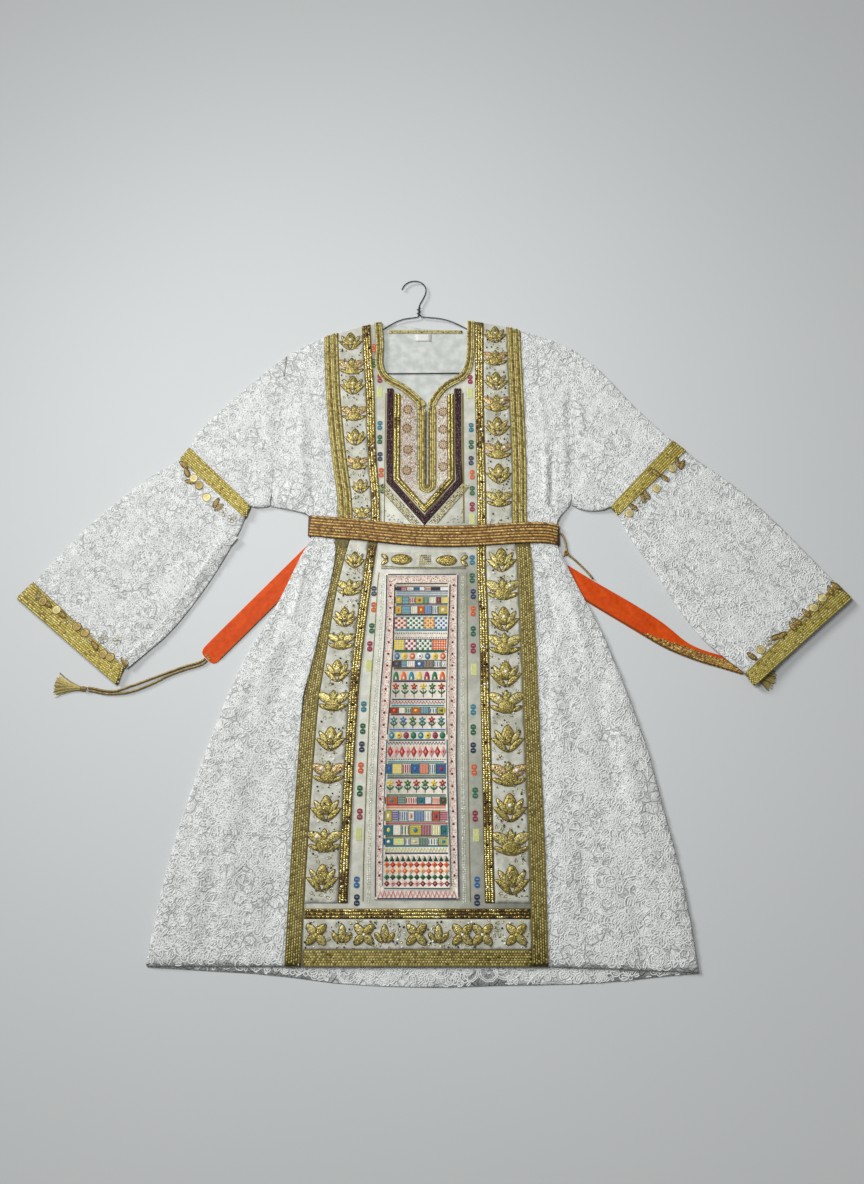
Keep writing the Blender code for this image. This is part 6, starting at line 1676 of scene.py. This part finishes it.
# Tassels of straw-gold yarn hang on the cords, each bound at its head with the cord's own yarn. The
# right one is mostly under the cuff. The right-hand cord has a knot near its top.
STRANDS = 110
TASSELS = (("left", -561.5, -144.4, 173.0, 51.0, 27.0), ("right", 505.4, -114.8, -25.0, 48.0, 26.0))
tassel_yarn = thread_material("tassel_yarn", 0.55, 0.15, sheen=0.2, vary=0.35)
for seed, (name, x, y, heading, length, fan) in enumerate(TASSELS, 131):
    rng = np.random.default_rng(seed)
    work = Needlework(lambda px, py: 0.0)
    ahead = math.radians(heading)
    for _ in range(STRANDS):
        layer = rng.uniform(0.25, 4.2)
        spray = rng.uniform(-0.75, 0.75)
        angle = math.radians(heading + fan / 2 * max(-1.0, min(1.0, spray * 1.4)))
        reach = length * rng.uniform(0.86, 1.0)
        curl = rng.uniform(-0.22, 0.22)
        t = np.linspace(0, 1, 6)
        bent = angle + curl * t
        steps = np.column_stack([np.cos(bent), np.sin(bent)]) * reach
        path = np.array([x, y]) + steps * t[:, None] + rng.uniform(-1.6, 1.6, 2) * (1 - t)[:, None]
        drop = layer * (1 - 0.75 * t) + 0.2
        work.line(path, 0.85, 0.7, np.array(srgb(200, 182, 108)) * rng.choice((0.25, 0.6, 1.0, 1.15)))
        work.points[-1][:, 2] += np.tile(drop, 3)
    arc = np.linspace(0, math.pi, 9)
    for turn in range(5):
        along_head = turn * 2.0 - 2.0
        middle = np.array([x + math.cos(ahead) * along_head, y + math.sin(ahead) * along_head])
        half = 4.4 - 0.4 * abs(turn - 2)
        ring = middle + np.array([-math.sin(ahead), math.cos(ahead)]) * (half * np.cos(arc))[:, None]
        work.line(ring, 2.3, 1.0, srgb(150, 122, 60))
        work.points[-1][:, 2] += np.tile(5.4 * np.sin(arc) + 0.2, 3)
    cloths["tassel_" + name] = work.made("tassel_" + name + "_yarn", tassel_yarn, "belt_cord")
    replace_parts(cloths["tassel_" + name], "tassel_" + name)
for name, far_end, ends in (("cord_left_upper", "knot", [cloths["tassel_left"]]),
                            ("cord_left_lower", "knot", []),
                            ("cord_right", "object", [])):
    cord, path = ropes[name]
knot = Needlework(lambda px, py: 0.3)
for k in range(4):
    ring = oval(3.2, 2.2, 219.7, 82.5, k * 0.8, 12)
    knot.line(ring, 2.2, 2.0, srgb(150, 112, 50), 1.0 + 0.9 * k, closed=True)
knot.line([(219.7, 82.5), (217.2, 79.0), (215.4, 76.0)], 2.6, 2.2, srgb(150, 112, 50), 0.4)
knot.made("cord_knot_right", gold_thread, "belt_cord")


# The back is the same white lace, faced with satin at the neck, where a blank white label is sewn on.
# Its hem hangs a little below the front's. A dark wire hanger lies inside the neck.
back_cloth, shader, place = new_material("back_lace_and_satin", 0.7, sheen=0.2)
# The lace's colour has the same painted shade in its gaps as the front's.
lace_tone_and_gap_shade, net = lace_look(place)
# Painted shade: the white satin facing inside the neck is coloured grey, as the shade that falls between the
# layers there.
satin_tone = place.noise(60, 3.0).soft(0.3, 0.75).tint(srgb(184, 188, 182), srgb(210, 213, 208))
across, upward, height = (place.axis(number) for number in range(3))
faced = upward.soft(0.300, 0.302) * (1 - (across + 0.0155).abs().soft(0.094, 0.096)) * height.soft(0.0007,
                                                                                                   0.0009)
feed(shader, Base_Color=faced.tint(lace_tone_and_gap_shade, satin_tone))
bumped(shader, net * (1 - faced), 1.2)
BACK_FOLDS = ((-56, 484, -58, 418, 5, 0.9), (-64, 470, -70, 424, 4, -0.6),
              (20, 480, 32, 424, 7, 0.6),
              (-20, 386, -14, 366, 5, 0.5), (-80, -560, -84, -585, 8, 0.5),
              (120, -555, 126, -588, 9, 0.6),
              (250, -552, 262, -580, 9, 0.6), (-240, -552, -250, -580, 8, 0.6))
base = cloth_from("back_panel", "back_cloth", back_cloth, BACK_FOLDS, levels=2, seed=141, depth=0.12,
                  floor_z=0.0)
lace_cords("back_hem_cords", surface_of(base), (-345, -590), (345, -552), 143, spacing=23.0)
label, shader, place = new_material("label_cotton", 0.75, sheen=0.1)
fine = place.axis(0).wave(5200) * 0.5 + 0.5
feed(shader, Base_Color=(fine * 0.5 + place.noise(300, 2.0) * 0.5).tint(srgb(206, 206, 202),
                                                                        srgb(236, 236, 232)))
bumped(shader, fine, 0.15)
base = cloth_from("neck_label", "label_cloth", label, levels=2, depth=0.0)
work = Needlework(surface_of(base), True)
for path in (((-32, 472.2), (-7, 472.2)), ((-32, 484.3), (-7, 484.3)), ((-32.6, 472.6), (-32.6, 484)),
             ((-6.4, 472.6), (-6.4, 484))):
    spots, turns, _ = along(path, 2.4)
    spread(work, GRAIN, spots, turns, 1.7, 0.7, 0.35, srgb(196, 196, 190))
work.made("label_stitches", thread, "label")
wire, shader, place = new_material("hanger_wire", 0.38, 0.9)
feed(shader, Base_Color=place.noise(200, 2.0).tint(srgb(52, 54, 56), srgb(96, 98, 102)))
cloth_from("hanger", "hanger_wire", wire, levels=1, depth=0.0)


CUTS = {
    "front_side_left": (0.262, 1.055, 0.158), "front_side_right": (0.250, 1.070, 0.145),
    "upper_sleeve_left": (0.48, 0.17, 0.060), "upper_sleeve_right": (0.50, 0.19, 0.076),
    "lower_sleeve_left": (0.46, 0.40, 0.150), "lower_sleeve_right": (0.47, 0.40, 0.150),
    "front_panel": (0.394, 1.07, 0.3651), "back_panel": (0.83, 1.1, 0.648),
    "outer_braid_left": (0.0245, 1.076), "outer_braid_right": (0.0245, 1.088),
    "sequin_braid_left": (0.0155, 0.995), "sequin_braid_right": (0.0155, 1.0),
    "motif_strip_left": (0.0425, 0.957), "motif_strip_right": (0.049, 0.962),
    "hem_motif_strip": (0.0435, 0.345), "belt": (0.036, 0.886),
    "belt_end_left": (0.036, 0.259), "belt_end_right": (0.036, 0.332),
    "elbow_band_left": (0.026, 0.293), "cuff_band_left": (0.036, 0.42),
    "cuff_band_right": (0.036, 0.383),
    "hem_braid": (0.0235, 0.3621), "sequin_band": (0.0145, 0.3745),
    "plastron_band": (0.0128, 0.4945), "plastron_braid": (0.0100, 0.4960),
    "neck_binding_left": (0.0100, 0.2730), "neck_binding_right": (0.0100, 0.2650),
    "neck_binding_back": (0.0100, 0.14, 0.0008), "slit_braid": (0.0145, 0.3055),
    "oval_strip": (0.026, 0.1565), "colour_panel": (0.128, 0.5141),
    "elbow_band_right": (0.026, 0.3265), "neck_label": (0.029, 0.0155),
}
for node, (wide, long, *area) in CUTS.items():
    ends = [cloths["tassel_right"]] if node == "belt_end_right" else []
